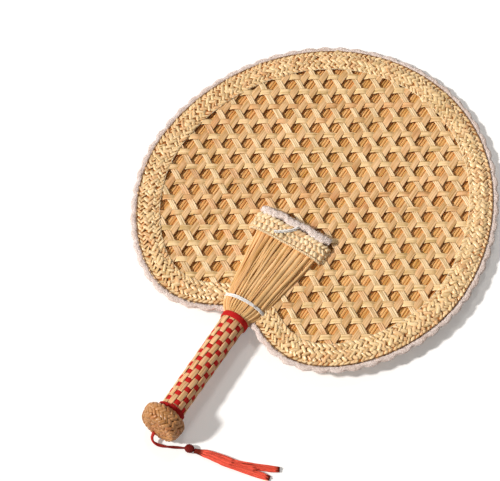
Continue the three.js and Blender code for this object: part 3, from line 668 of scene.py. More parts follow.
def wool_look(surface, base, loops):
    """Soft trim: two sizes of curly noise for the loops and their fluff, painted shade between the loops, and
    slow changes of tone.
    """
    curl = wire(surface.tree, "ShaderNodeTexVoronoi", {"Vector": surface, "Scale": loops}, "Distance")
    fluff = noise(surface, loops * 3.0, 4.0, 0.7)
    # Painted shade: the colour darkens away from each loop's middle, in the recesses between loops
    tone = curl.eased(0.2, 0.75).mixed(base, base.toned(1.8, 0.66))
    tone = fluff.eased(0.42, 0.7).mixed(tone, base.toned(0.6, 1.25))
    tone = (noise(surface, 70.0).eased(0.4, 0.7) * 0.2).mixed(tone, (0.7, 0.45, 0.32, 1))
    return tone, fluff * 0.2 + 0.75, curl * -1.0 + fluff


TONE = (0.7, 0.5, 0.3, 1)
STRAW = ("Split straw", straw_look, {"Surface": None, "Base": TONE, "Tint": 0.5, "Fibre": 3000.0,
                                     "Streaks": 0.5, "Shine": 0.38, "Rib": 0.002, "Groove": 0.0})
STRAND = ("Twisted strands", strand_look, {"Surface": None, "Base": TONE, "Tint": 0.0, "Round": 1000.0,
                                           "Along": 1000.0, "Shine": 0.45})
WOOL = ("Soft trim", wool_look, {"Surface": None, "Base": TONE, "Loops": 900.0})
FINISH = {"Colour": "Color", "Roughness": "Float", "Height": "Float"}
COAT_ROUGHNESS = 0.3


def shared_group(title, look, inputs):
    """A look's shader group, made at its first use."""
    group = bpy.data.node_groups.get(title)
    if group:
        return group
    group = bpy.data.node_groups.new(title, "ShaderNodeTree")
    for label, default in inputs.items():
        kind = "Vector" if default is None else "Color" if default is TONE else "Float"
        socket = group.interface.new_socket(name=label, in_out="INPUT", socket_type="NodeSocket" + kind)
        if default is not None:
            socket.default_value = default
    for label, kind in FINISH.items():
        group.interface.new_socket(name=label, in_out="OUTPUT", socket_type="NodeSocket" + kind)
    given = group.nodes.new("NodeGroupInput")
    made = look(*(Socket(group, given.outputs[label]) for label in inputs))
    result = group.nodes.new("NodeGroupOutput")
    for label, socket in zip(FINISH, made):
        group.links.new(socket.output, result.inputs[label])
    return group


def finish(name, kind, tone, bump, specular, coat=0.0, sheen=0.0, on_object=False, **values):
    """A material whose colour, roughness and bump come from a shared group."""
    material = bpy.data.materials.new(name)
    material.use_nodes = True
    tree = material.node_tree
    if on_object:
        surface = wire(tree, "ShaderNodeTexCoord", output="Object")
    else:
        surface = wire(tree, "ShaderNodeUVMap", output="UV", uv_map="UVMap")
    feeds = {"Surface": surface, "Base": (*tone, 1), **values}
    if "Tint" in kind[2]:
        feeds["Tint"] = wire(tree, "ShaderNodeAttribute", output="Fac", attribute_name="tint")
    look = wire(tree, "ShaderNodeGroup", feeds, node_tree=shared_group(*kind)).output.node.outputs
    height = wire(tree, "ShaderNodeBump", {"Height": Socket(tree, look["Height"]), "Distance": bump,
                                           "Strength": 1.0})
    shader = tree.nodes["Principled BSDF"].inputs
    for key, output in (("Base Color", look["Colour"]), ("Roughness", look["Roughness"]),
                        ("Normal", height.output)):
        tree.links.new(output, shader[key])
    for key, constant in (("Sheen Weight", sheen), ("Coat Weight", coat), ("Coat Roughness", COAT_ROUGHNESS),
                          ("Specular IOR Level", specular)):
        shader[key].default_value = constant
    return material


PLAITED = {"Fibre": 2000.0, "Streaks": 0.8, "Shine": 0.24}


def straw_material(name, tone, bump=0.00012, specular=0.3, coat=0.0, on_object=False, **values):
    return finish(name, STRAW, tone, bump, specular, coat, on_object=on_object, **values)


# A dark straw material without gloss, used for painted shade under and between straws
def painted_shade_material(name, tone):
    return straw_material(name, tone, specular=0.0)


def strand_material(name, tone, around, along, shine=0.45, bump=0.00015, specular=0.1):
    return finish(name, STRAND, tone, bump, specular, Round=around, Along=along, Shine=shine)


def wool_material(name, tone):
    return finish(name, WOOL, tone, 0.0004, 0.3, sheen=0.3, on_object=True)


# Blade

STRIP_DRIFT, STRIP_RISE, STRIP_LEAN = 0.00018, 0.00008, 0.045
DRIFT_WAVE, RISE_WAVE, LEAN_WAVE, WIDTH_WAVE, TINT_WAVE = 0.09, 0.05, 0.04, 0.06, 0.03


def ribbed(ribs, groove, crown):
    """A strip's profile in shares: flat below, and above it ribs whose height falls with the fourth power of
    the distance from each rib's middle, on a crown that falls with the square of the distance across."""
    place = np.linspace(0, ribs, 4 * ribs + 1)
    across = 2 * place / ribs - 1
    height = 1 - groove * np.abs(2 * (place % 1) - 1) ** 4 * (np.abs(across) < 0.99) - crown * across ** 2
    return np.concatenate([np.stack([across, height], -1), [(0.8, -1), (-0.8, -1)]])


def runs_inside(base, way, outline):
    """Where lines from base points along one way are inside the outline: their numbers, starts and ends."""
    edge = np.roll(outline, -1, 0) - outline
    cross = way[0] * edge[:, 1] - way[1] * edge[:, 0]
    found = []
    for line, start in enumerate(base):
        gap = outline - start
        with np.errstate(divide="ignore", invalid="ignore"):
            reach = (gap[:, 0] * edge[:, 1] - gap[:, 1] * edge[:, 0]) / cross
            share = (gap[:, 0] * way[1] - gap[:, 1] * way[0]) / cross
        hits = np.sort(reach[(share >= 0) & (share < 1)])
        found += [(line, hits[i], hits[i + 1]) for i in range(0, len(hits) - 1, 2)]
    return [np.array(column) for column in zip(*found)]


def weave_strips(base, way, width, lift_of, profile, rng, stations=170):
    """Strips over a set of parallel lines: a ribbed profile that rises and dips by lift_of(point, line)."""
    weave = sizes_of("weave")
    line, start, end = runs_inside(base, way, inset_line(weave.inset))
    long_enough = end - start > weave.repeat / 2
    line, start, end = line[long_enough, None], start[long_enough, None], end[long_enough, None]
    along = start + (end - start) * np.linspace(0, 1, stations)
    side = np.array((-way[1], way[0]))
    drift = STRIP_DRIFT * wander(along, DRIFT_WAVE, rng)
    flat = base[line[:, 0]][:, None] + along[..., None] * way + drift[..., None] * side
    height = weave.middle + lift_of(flat, line) * weave.lift + STRIP_RISE * wander(along, RISE_WAVE, rng)
    section = profile * (width / 2, weave.thickness / 2)
    spread = rng.normal(0.98, 0.06, line.shape) + 0.05 * wander(along, WIDTH_WAVE, rng)
    lean = STRIP_LEAN * wander(along, LEAN_WAVE, rng)[..., None]
    across = section[:, 0] * spread[..., None]
    rings = np.concatenate([flat[:, :, None] + across[..., None] * side,
                            (height[..., None] + section[:, 1] + across * lean)[..., None]], -1)
    shift = rng.integers(1, 200, line.shape) * width
    tint = np.clip(rng.random(line.shape) + 0.3 * wander(along, TINT_WAVE, rng), 0, 1)
    return tubes(rings, np.append(section[:, 0] + width / 2, 0) + shift, along + shift, tint)


class FAN_OT_weave(Operator):
    """Weaves the open front: strips along the handle and two slanting sets, over one and under the next"""

    bl_idname = "fan.weave"
    bl_label = "Open weave"

    def execute(self, context):
        weave, blade = sizes_of("weave"), sizes_of("blade")
        rng = np.random.default_rng(11)
        columns = math.ceil(blade.half_width / weave.pitch)
        rows = math.ceil(2 * blade.tip_along / weave.repeat)
        column, row = np.arange(-columns, columns), np.arange(-rows, rows)
        long_base = np.stack([weave.across + (column + 0.5) * weave.pitch,
                              weave.along + column * weave.repeat / 2], -1)
        cross_base = np.stack([np.full(len(row), weave.across), weave.along + (row + 0.5) * weave.repeat], -1)

        def long_lift(point, line):
            turns = (point[..., 1] - long_base[line][..., 1]) / weave.repeat
            return 0.4 * plateau(-np.sin(2 * np.pi * turns))

        def rising_lift(point, line):
            return 0.75 * plateau(np.cos(2 * np.pi * (point[..., 0] - weave.across) / weave.pitch))

        def falling_lift(point, line):
            return -0.5 * rising_lift(point, line)

        rising = unit(np.array((weave.pitch, weave.repeat / 2)))
        # The rising and falling strips' lighter colours carry painted highlight
        sets = (("lengthwise", long_base, np.array((0, 1.0)), weave.long_width, long_lift, 0.35, 0.9,
                 weave.long_straw, 0.36),
                ("rising", cross_base, rising, weave.rising_width, rising_lift, 0.25, 0.7,
                 weave.rising_straw_with_highlight, 0.3),
                ("falling", cross_base, rising * (1, -1), weave.falling_width, falling_lift, 0.7, 0.5,
                 weave.falling_straw_with_highlight, 0.2))
        for name, base, way, width, lift, groove, crown, tone, shine in sets:
            material = straw_material(f"Straw {name}", tone, specular=0.2, coat=1.1 - 2.2 * shine,
                                      Fibre=1500.0, Streaks=0.85, Shine=shine, Rib=width / 3,
                                      Groove=groove * 0.6)
            shell = weave_strips(base, way, width, lift, ribbed(3, groove, crown), rng)
            add_piece(f"weave_{name}", shell, material, ["front_lattice"])
        return {"FINISHED"}


MAT_STRAW_THICKNESS = 0.0014
MAT_GAP_HALF_THICKNESS, MAT_GAP_STEP = 0.00015, 0.001
MAT_DRIFT, MAT_DRIFT_WAVE, MAT_RISE, MAT_RISE_WAVE = 0.00012, 0.12, 0.0001, 0.08


class FAN_OT_mat(Operator):
    """Lays the inner mat: thin straws side by side along the handle, cut to the outline"""

    bl_idname = "fan.mat"
    bl_label = "Inner mat"

    def execute(self, context):
        blade = sizes_of("blade")
        rng = np.random.default_rng(23)
        outline = inset_line(blade.row_start + blade.row_width / 2)
        number = int(2 * (outline[:, 0].max() - blade.straw_pitch) / blade.straw_pitch)
        across = (np.arange(number) - (number - 1) / 2) * blade.straw_pitch
        base = np.stack([across, np.full(number, blade.widest_along)], -1)
        line, low, high = runs_inside(base, np.array((0, 1.0)), outline)
        along = low[:, None] + (high - low)[:, None] * np.linspace(0, 1, 30)
        drift = MAT_DRIFT * wander(along, MAT_DRIFT_WAVE, rng)
        rise = MAT_RISE * wander(along, MAT_RISE_WAVE, rng)
        girth = rng.normal(1, 0.1, len(line))[:, None, None, None]
        section = oval(blade.straw_pitch * 0.98, MAT_STRAW_THICKNESS, 8, 2.2, np.pi / 8) * girth
        middle = np.stack([across[line][:, None] + drift, blade.widest_along + along, rise], -1)
        shift = rng.uniform(0, 1, (len(line), 1))
        around = np.arange(9) * blade.straw_pitch * 0.37 + shift
        rings = rings_on(middle, BLADE_ACROSS, UP, section)
        shell = tubes(rings, around, along + shift, rng.random(len(line)))
        material = straw_material("Mat straw", blade.mat_straw, specular=0.05, Streaks=0.75, Shine=0.5)
        add_piece("mat_straws", shell, material, ["straw_mat"])
        # A dark sheet in the middle of the mat: painted shade seen in the gaps between its straws
        half = MAT_GAP_HALF_THICKNESS
        sheet = np.stack([np.insert(outline, 2, height, axis=1) for height in (-half, half)])
        gaps = tubes(sheet[None], np.arange(len(outline) + 1) * MAT_GAP_STEP, (0, 2 * half), 0.5)
        add_piece("mat_shade_sheet", gaps, painted_shade_material("Mat shade sheet", blade.mat_gap_shade))
        return {"FINISHED"}


BASE_OVERLAP = 0.0004
EDGE_CORD_GAP, EDGE_CORD_HEIGHT, EDGE_CORD_GIRTH = 0.0001, 0.0031, (0.0011, 0.001)
SEAM_GAP, SEAM_HEIGHT, SEAM_GIRTH = 0.0002, 0.0022, (0.0009, 0.0009)
TRIM_GAP, TRIM_FIBRE_LENGTH = 0.0002, 0.0023
FIBRE_RADIUS = 0.00007
LOOP_LENGTH, LOOP_TWIST = 0.0021, 0.0033
BORDER_ROWS = (
    # Place, height and slope of the straws, top of their base, share of their size and of their thickness
    ("outer", 0.0023, -0.3, 0.0019, 0.92, 0.62),
    ("middle", 0.003, -0.06, 0.0027, 1.2, 1.35),
    ("inner", 0.0031, 0.03, 0.0027, 0.98, 0.95),
)


def rim_cords(inset, height, girth):
    """Round cords that follow the rim on the front and on the back."""
    return joined(*(swept(rim_path(inset, sign * height), 700, oval(*girth, 6)) for _, sign in SIDES))


class FAN_OT_border(Operator):
    """Plaits three rows of straw round the rim, on the front and on the back"""

    bl_idname = "fan.border"
    bl_label = "Plaited border"

    def execute(self, context):
        blade, border = sizes_of("blade"), sizes_of("border")
        straw = straw_material("Plaited straw", border.plait, 0.0001, 0.15, 0.9, **PLAITED)
        dark = painted_shade_material("Border crevice shade", border.crevice_shade)
        for row, (place, height, slope, top, scale, thick) in enumerate(BORDER_ROWS):
            path = rim_path(blade.row_start + (row + 0.5) * blade.row_width)
            straws = plait(path, np.random.default_rng(100 + row), blade.row_width * 0.98,
                           border.plait_pitch * scale, border.straw_length * scale,
                           border.straw_width * scale, border.straw_height * thick,
                           height=height, slope=slope)
            # A dark base under each row's straws: painted shade in the crevices between them
            low = blade.base_height - BASE_OVERLAP
            section = oval(blade.row_width * 1.04, top - low, 10, 3.0) + (0, (top + low) / 2)
            base = swept(path, 420, section, 0.5)
            add_both((f"plait_{place}", straws, straw, "border_plait", f"border_{place}"),
                     (f"base_{place}", base, dark, "border_plait", f"border_{place}"))
        inset = blade.row_start + 3 * blade.row_width + EDGE_CORD_GAP
        edge = rim_cords(inset, EDGE_CORD_HEIGHT, EDGE_CORD_GIRTH)
        cord = strand_material("Border edge", border.stitch, 2200.0, 2400.0, 0.5)
        add_piece("border_edge_cord", edge, cord)
        return {"FINISHED"}


def fuzzy_roll(path, width, height, scallop, depth, rng, stations, sign=1.0, sides=18):
    """A soft yarn roll: an oval profile that swells outwards in waves, with knotty loops over its surface.

    The wave is the absolute sine of the distance along; the loops are a product of two sines plus jitter.
    """
    along = path.steps(stations)
    waves = max(1, round(path.length / scallop))
    phase = np.pi * waves * along / path.length + 0.25 * wander(along, path.length / 7, rng)
    reach = sign * depth * (np.abs(np.sin(phase)) - 0.5)
    section = np.broadcast_to(oval(width, height, sides, 2.2), (stations, sides, 2)).copy()
    outer = np.clip(sign * section[..., 0] / (width / 2), -0.2, 1)
    section[..., 0] += reach[:, None] * (0.4 + 0.6 * outer)
    turns = 2 * np.pi * along[:, None]
    knots = np.sin(turns / LOOP_LENGTH) * np.sin(3 * full_turn(sides) + turns / LOOP_TWIST)
    swell = 1 + 0.1 * knots + rng.normal(0, 0.055, (stations, sides))
    middle = section.mean(1, keepdims=True)
    return swept(path, stations, middle + (section - middle) * swell[..., None], 0.5)


def fluff(path, width, height, number, length, rng, sides=3):
    """Loose fibres on a roll: thin tapering tubes that start in the roll and lean out in random ways."""
    point, tangent, side, outward = path.at(rng.uniform(0, path.length, number))
    angle = rng.uniform(-0.4, np.pi + 0.4, number)[:, None]
    root = point + 0.42 * (np.cos(angle) * width * side + np.sin(angle) * height * outward)
    way = unit(np.cos(angle) * side + np.sin(angle) * outward + rng.normal(0, 0.9, (number, 3)))
    curl = unit(np.cross(way, tangent) + rng.normal(0, 0.5, (number, 3)))
    share = np.array((0, 0.5, 1.0))
    reach = length * rng.uniform(0.5, 1.2, number)[:, None, None]
    bend = share[:, None] * way[:, None] + 0.35 * share[:, None] ** 2 * curl[:, None]
    girth = FIBRE_RADIUS * (1 - 0.75 * share)
    rings = rings_on(root[:, None] + reach * bend, unit(np.cross(way, curl))[:, None], curl[:, None],
                     oval(2, 2, sides) * girth[:, None, None])
    return tubes(rings, np.arange(sides + 1) * 0.0001, share * length, rng.random(number))


class FAN_OT_rim_trim(Operator):
    """Sews the soft scalloped trim round the rim, with the dark thread beside it, which paints the shade of
    the step between border and trim
    """

    bl_idname = "fan.rim_trim"
    bl_label = "Rim trim"

    def execute(self, context):
        blade, border = sizes_of("blade"), sizes_of("border")
        rng = np.random.default_rng(31)
        width, height = blade.trim_width, border.trim_height
        path = rim_path(width / 2 + TRIM_GAP)
        roll = fuzzy_roll(path, width, height, border.scallop, border.scallop_depth, rng, 1500)
        trim = joined(roll, fluff(path, width, height, border.wisps, TRIM_FIBRE_LENGTH, rng))
        add_piece("rim_trim", trim, wool_material("Rim trim", border.trim), ["edge_trim"])
        # A dark thread between the border and the trim: painted shade of the step there
        seam = rim_cords(blade.row_start - SEAM_GAP, SEAM_HEIGHT, SEAM_GIRTH)
        thread = strand_material("Seam thread", border.seam, 2200.0, 3000.0, 0.6)
        add_piece("seam_shade_thread", seam, thread)
        return {"FINISHED"}


# Braces

BRACE_ROOT, ROOT_END, SPLAY_START = 0.003, 0.006, 0.01
CORE_SHRINK, CORE_END_GAP = 0.0016, 0.0005
STRAW_STEP, CORE_STEP = 0.0009, 0.003
STRAW_THICKNESS, STRAW_UNEVENNESS, STRAW_SINK = 0.0013, 0.0004, 0.0002
THREAD_GIRTH, THREAD_GAP, THREAD_KNOT_GAP = 0.001, 0.0006, 0.0012
THREAD_KNOT_ANGLE = math.radians(62)
THREAD_UNEVENNESS, THREAD_SWAY = 0.0001, 0.0002
STRAP_BASE_THICKNESS, STRAP_RISE = 0.0018, 0.0012
STRAP_PLAIT_PITCH = 0.0044
STRAP_INSET, PUFF_INSET, BEAD_INSET = 0.0008, 0.0004, 0.0002
PUFF_PLACE, PUFF_RISE, BEAD_PLACE, BEAD_RISE = 0.0129, 0.0006, 0.0047, 0.0005
STITCH_PLACE, STITCH_RISE, STITCH_REACH, STITCH_GIRTH = 0.0006, 0.0032, 0.0005, 0.0011
STRAP_SEAM_PLACE, STRAP_SEAM_GIRTH = 0.0004, 0.001
STRAP_SEAM_INSET, ROLL_PLACE, ROLL_RISE, ROLL_INSET = 0.0006, 0.004, 0.0016, 0.0012
LOOSE_START, LOOSE_ACROSS, LOOSE_ALONG, LOOSE_RISE = (0.0015, 0.001, 0.0042), 0.0155, 0.0145, 0.0008
LOOSE_REACH, LOOSE_GIRTH, LOOSE_TWIST = 0.001, 0.0012, 0.012


def brace_size(along):
    """Half width, depth and squareness of a brace: a quarter sine up to the thread, then straight lines."""
    brace, radius = sizes_of("brace"), sizes_of("handle").grip_radius
    below = np.clip((along - brace.start) / (brace.thread_along - brace.start), 0, 1)
    above = np.clip((along - brace.thread_along) / (brace.end - brace.thread_along), 0, None)
    half = (radius + (brace.thread_half_width - radius) * np.sin(below * np.pi / 2)
            + (brace.end_half_width - brace.thread_half_width) * above)
    depth = (radius + (brace.thread_depth - radius) * below
             + (brace.end_depth - brace.thread_depth) * above)
    return half, depth, 2 + 2 * above


def arch_line(along, half_width, depth, squareness, samples):
    """A superellipse arch over the blade at one place along the handle, from its left to its right foot."""
    angle = np.linspace(np.pi, 0, 400)
    power = 2 / squareness
    x = np.sign(np.cos(angle)) * np.abs(np.cos(angle)) ** power * half_width
    z = np.abs(np.sin(angle)) ** power * depth
    return spaced(np.stack([x, np.full(len(x), along), z], -1), samples)


def strap_arch(along, half_width, depth, first=0, last=160):
    """An arch of the strap as a path whose outward way leaves it and whose side points down the handle."""
    points = arch_line(along, half_width, depth, 4.0, 160) - (sizes_of("brace").band_shift, 0, 0)
    outward = np.cross(unit(np.gradient(points, axis=0)), ALONG)
    return Path(points[first:last], outward[first:last])


def brace_straws(rng, samples=240, sides=10):
    """Straws that run out of the handle: each follows the brace's surface at its own share of the arch."""
    brace = sizes_of("brace")
    number = brace.straws
    along = np.concatenate([np.linspace(brace.start - BRACE_ROOT, brace.thread_along + ROOT_END, 16),
                            np.linspace(brace.thread_along + SPLAY_START, brace.end, 18)])
    rows = np.broadcast_to(along, (number, len(along)))
    girths = 0.3 + 1.6 * rng.random(number) ** 1.5
    middles = (np.cumsum(girths) - girths / 2) / girths.sum()
    arches = np.stack([arch_line(*sizes, samples) for sizes in zip(along, *brace_size(along))])
    length = np.linalg.norm(np.diff(arches, axis=1), axis=-1).sum(1)
    share = np.clip(middles[:, None] + 0.008 * wander(rows, 0.05, rng), 0.01, 0.99) * (samples - 1)
    low = np.floor(share).astype(int)
    part = (share - low)[..., None]
    station = np.arange(len(along))
    before, after = arches[station, low], arches[station, low + 1]
    tangent = unit(after - before)
    outward = np.cross(tangent, ALONG)
    width = length * (girths / girths.sum())[:, None] * 1.07
    thick = STRAW_THICKNESS + 0.4 * width
    rise = rng.normal(0, STRAW_UNEVENNESS, (number, 1)) + STRAW_UNEVENNESS * wander(rows, 0.06, rng)
    rise = rise * np.clip((along - brace.start) / (brace.thread_along - brace.start), 0, 1) - STRAW_SINK
    middle = before * (1 - part) + after * part + (rise - 0.42 * thick)[..., None] * outward
    section = oval(1, 1, sides) * np.stack([width, thick], -1)[:, :, None]
    tint = rng.random(number) * 0.9
    tint[2] = 1.0
    shift = rng.uniform(0, 1, (number, 1))
    return tubes(rings_on(middle, tangent, outward, section), np.arange(sides + 1) * STRAW_STEP + shift,
                 along + shift, tint)


def brace_core(samples=30):
    """The packed straw under the splayed ones, coloured dark as painted shade between them: arches a little
    inside the brace, closed at both ends.
    """
    brace = sizes_of("brace")
    along = np.linspace(brace.start, brace.end - CORE_END_GAP, 18)
    rings = np.stack([arch_line(place, half - CORE_SHRINK, depth - CORE_SHRINK, squareness, samples)
                      for place, half, depth, squareness in zip(along, *brace_size(along))])
    return tubes(rings[None], np.arange(samples + 1) * CORE_STEP, along, 0.6)


class FAN_OT_braces(Operator):
    """Splays the straws of the front and back braces and ties them with white thread"""

    bl_idname = "fan.braces"
    bl_label = "Straw braces"

    def execute(self, context):
        brace = sizes_of("brace")
        straw = straw_material("Brace straw", brace.straw, Fibre=2400.0, Streaks=0.9, Shine=0.36)
        # The dark inner shell is painted shade seen between the splayed straws
        dark = painted_shade_material("Brace core", brace.core)
        for seed, (side, sign) in enumerate(SIDES, 41):
            for name, shell, material in (("straws", brace_straws(np.random.default_rng(seed)), straw),
                                          ("core", brace_core(), dark)):
                add_piece(f"{side}_brace_{name}", shell, material, [f"{side}_brace"],
                          sign=sign)
        rng = np.random.default_rng(47)
        half, depth, _ = brace_size(np.array(brace.thread_along))
        angle = np.linspace(0, 2 * np.pi, 220, endpoint=False)
        outward = round_handle(np.pi / 2 - angle)[0]
        wraps = []
        for turn in (-1, 0, 1):
            reach = THREAD_GAP + THREAD_UNEVENNESS * wander(angle, 1.5, rng)
            points = np.stack([(half + reach) * np.cos(angle),
                               brace.thread_along + turn * THREAD_GIRTH
                               + THREAD_SWAY * wander(angle, 2.0, rng),
                               (depth + reach) * np.sin(angle)], -1)
            wraps.append(swept(Path(points, outward, True), 260, oval(THREAD_GIRTH, THREAD_GIRTH, 8)))
        knot = np.array([[(half + THREAD_KNOT_GAP) * math.cos(THREAD_KNOT_ANGLE), brace.thread_along,
                          (depth + THREAD_KNOT_GAP) * math.sin(THREAD_KNOT_ANGLE)]])
        wraps.append(lumps(knot, np.array([[0.8, 0.3, -0.5]]), ALONG[None], np.array([[0.5, 0, 0.85]]),
                           half_length=0.0016, half_width=0.0011, half_height=0.0009, tint=0.2))
        thread = strand_material("White thread", brace.thread, 2600.0, 2600.0, 0.6, specular=0.3)
        add_piece("neck_thread_wraps", joined(*wraps), thread, ["neck_thread"])
        return {"FINISHED"}


def strap_plait(rng):
    """The strap over a brace's end: its base, a puffy plait and a row of beads."""
    brace = sizes_of("brace")
    start, half, middle = brace.band_along, brace.band_half_width, (brace.band_along + brace.end) / 2
    depth = brace_size(middle)[1] + STRAP_RISE
    flat = oval(brace.end - start, STRAP_BASE_THICKNESS, 12, 4.0)
    base = swept(strap_arch(middle, half - STRAP_INSET, depth), 90, flat, 0.8)
    puffs = plait(strap_arch(start + PUFF_PLACE, half - PUFF_INSET, depth + PUFF_RISE), rng, width=0.0098,
                  pitch=STRAP_PLAIT_PITCH, length=0.0057, girth=0.0039, thickness=0.0028,
                  lean=math.radians(50), crown=0.3, height=0.0006)
    beads = plait(strap_arch(start + BEAD_PLACE, half - BEAD_INSET, depth + BEAD_RISE), rng, width=0.002,
                  pitch=STRAP_PLAIT_PITCH, length=0.0048, girth=0.0038, thickness=0.0027, columns=1,
                  lean=math.radians(66), crown=0.1, height=0.0008)
    return joined(base, puffs, beads)


class FAN_OT_bands(Operator):
    """Plaits the straps over the braces' ends, with their stitched edges and soft rolls"""

    bl_idname = "fan.bands"
    bl_label = "Brace straps"

    def execute(self, context):
        brace, border = sizes_of("brace"), sizes_of("border")
        rng = np.random.default_rng(53)
        half, end = brace.band_half_width, brace.end
        depth = brace_size(end)[1]
        straw = straw_material("Strap straw", border.strap, 0.0001, coat=0.5, **PLAITED)
        straws = strand_material("Strap stitch", border.stitch, 1800.0, 2400.0, 0.4, specular=0.4)
        # Painted light: the roll's yarn is the trim's colour made brighter, to make up for the shade in its
        # loops and fluff
        lit_yarn = wool_material("Strap roll", [min(1.0, 1.08 * part) for part in border.trim])
        # A dark thread along the roll's near edge: painted shade under the roll
        thread = strand_material("Strap seam", border.seam, 2200.0, 3000.0)
        strap = strap_plait(rng)
        edge = strap_arch(brace.band_along + STITCH_PLACE, half, depth + STITCH_RISE, 9, 150)
        stitch = twisted(edge, STITCH_REACH, STITCH_GIRTH, STRAP_PLAIT_PITCH, rng, 260)
        seam = strap_arch(end + STRAP_SEAM_PLACE, half - STRAP_SEAM_INSET, depth + ROLL_RISE)
        seam = swept(seam, 120, oval(STRAP_SEAM_GIRTH, STRAP_SEAM_GIRTH, 6))
        path = strap_arch(end + ROLL_PLACE, half - ROLL_INSET, depth + ROLL_RISE, 4, 146)
        roll = fuzzy_roll(path, width=0.0074, height=0.0054, scallop=0.024, depth=0.004, rng=rng,
                          stations=220, sign=-1.0)
        roll = joined(roll, fluff(path, width=0.0068, height=0.005, number=1500, length=0.002, rng=rng))
        add_both(("strap", strap, straw, "border_plait", "brace_band"),
                 ("strap_stitch", stitch, straws, "border_plait", None),
                 ("strap_seam_shade", seam, thread, "pale_trim", None),
                 ("strap_roll", roll, lit_yarn, "pale_trim", "brace_trim"))
        share = np.linspace(0, 1, 40)
        tail = np.stack([-LOOSE_ACROSS * share ** 1.4, end - LOOSE_ALONG * share ** 0.8,
                         depth + LOOSE_RISE * np.sin(np.pi * share)], -1) + LOOSE_START
        loose = twisted(Path(tail, UP), LOOSE_REACH, LOOSE_GIRTH, LOOSE_TWIST, np.random.default_rng(59),
                        60, 6, 3)
        thread = strand_material("Loose thread", brace.thread, 2600.0, 2600.0, 0.6)
        add_piece("strap_loose_thread", loose, thread)
        return {"FINISHED"}


# Handle

STAKE_TWIST = 7.3
STAKE_TOP, STAKE_OVERLAP = -0.0018, 0.0004
STAKE_UNEVENNESS, STAKE_SWAY, STAKE_ROUND = 0.00008, 0.02, 0.011
STAKE_DEPTH, STAKE_DIP, STAKE_ARCH, STAKE_HALF_THICKNESS = 0.001, 0.0011, 0.00022, 0.0005
TUCK_START, TUCK_LENGTH, TUCK_DEPTH = 0.0046, 0.0012, 0.0006
LAST_WINDOW, RIBBON_END = 0.0078, 0.0066
RIBBON_DEPTH, RIBBON_WAVE, RIBBON_HALF_THICKNESS = 0.00145, 0.00055, 0.0002
CORE_TOP = -0.0015
TAPE_WIDTH, TAPE_THICKNESS, TAPE_GAP = 0.0052, 0.0011, 0.00025
TAPE_RIB, TAPE_RIB_HEIGHT, TAPE_UNEVENNESS, TAPE_WAVE = 0.00055, 0.00007, 0.00008, 0.02
BINDING_PLACE, BINDING_STEP, BINDING_GAP = 0.004, 0.0012, 0.0003
BINDING_STRAND_REACH, BINDING_STRAND_GIRTH, BINDING_TWIST = 0.00034, 0.001, 0.0036
# Sections of a stake and of the ribbon, as shares of their half width and half thickness
STAKE_SHARES = ((-1, -0.4), (-0.9, 0.35), (-0.6, 0.85), (-0.2, 1), (0.2, 1), (0.6, 0.85), (0.9, 0.35),
                (1, -0.4), (0.5, -1), (-0.5, -1))
RIBBON_SHARES = ((-1, 0.2), (-0.8, 1), (0, 1.15), (0.8, 1), (1, 0.2), (0.9, -1), (0, -1), (-0.9, -1))


def grip_at(along):
    handle = sizes_of("handle")
    return handle.grip_radius + (handle.grip_end_radius - handle.grip_radius) * along / handle.shoulder_along


def crossing_height(crossing):
    """Where the ribbon meets a stake: it drops a pitch in each round of all the stakes."""
    handle = sizes_of("handle")
    return handle.ribbon_start - crossing * handle.ribbon_pitch / handle.stakes


def grip_stakes(rng, stations=210):
    """Straw stakes: each follows the grip, arches over the ribbon and dips under it at every other crossing.

    The dip is a sum of flat-topped bells, one at each place where the ribbon lies over the stake.
    """
    handle = sizes_of("handle")
    stake = np.arange(handle.stakes)[:, None]
    shoulder = handle.shoulder_along
    along = np.linspace(STAKE_TOP, shoulder + STAKE_OVERLAP, stations)
    rows = np.broadcast_to(along, (handle.stakes, stations))
    crossings = np.arange(0, 400, 2)
    crossings = crossings[crossing_height(crossings) > shoulder + LAST_WINDOW]
    apart = np.abs(along - crossing_height(crossings)[:, None]) / (handle.window * 0.53)
    dip = (crossings % handle.stakes == stake).astype(float) @ np.exp(-apart ** 6)
    waves = (along - handle.ribbon_start + stake * handle.ribbon_pitch / handle.stakes) / handle.ribbon_pitch
    arching = np.cos(np.pi * waves) * (1 - 2 * (stake % 2))
    tucked = np.clip((shoulder + TUCK_START - along) / TUCK_LENGTH, 0, 1) * TUCK_DEPTH
    radius = grip_at(along) - STAKE_DEPTH - STAKE_DIP * dip - STAKE_ARCH * arching - tucked
    radius = radius + STAKE_UNEVENNESS * wander(rows, 0.02, rng)
    angle = 2 * np.pi * stake / handle.stakes + STAKE_TWIST * along + STAKE_SWAY * wander(rows, 0.03, rng)
    width = handle.stake_width * (1 - 0.2 * dip) * rng.normal(1, 0.03, stake.shape)
    section = STAKE_SHARES * np.stack([width / 2, np.full(width.shape, STAKE_HALF_THICKNESS)], -1)[:, :, None]
    out, side = round_handle(angle)
    middle = radius[..., None] * out
    middle[..., 1] = along
    shift = rng.uniform(0, 1, stake.shape)
    return tubes(rings_on(middle, side, out, section), np.linspace(0, STAKE_ROUND, 11) + shift, along + shift,
                 rng.random(handle.stakes) * 0.8)


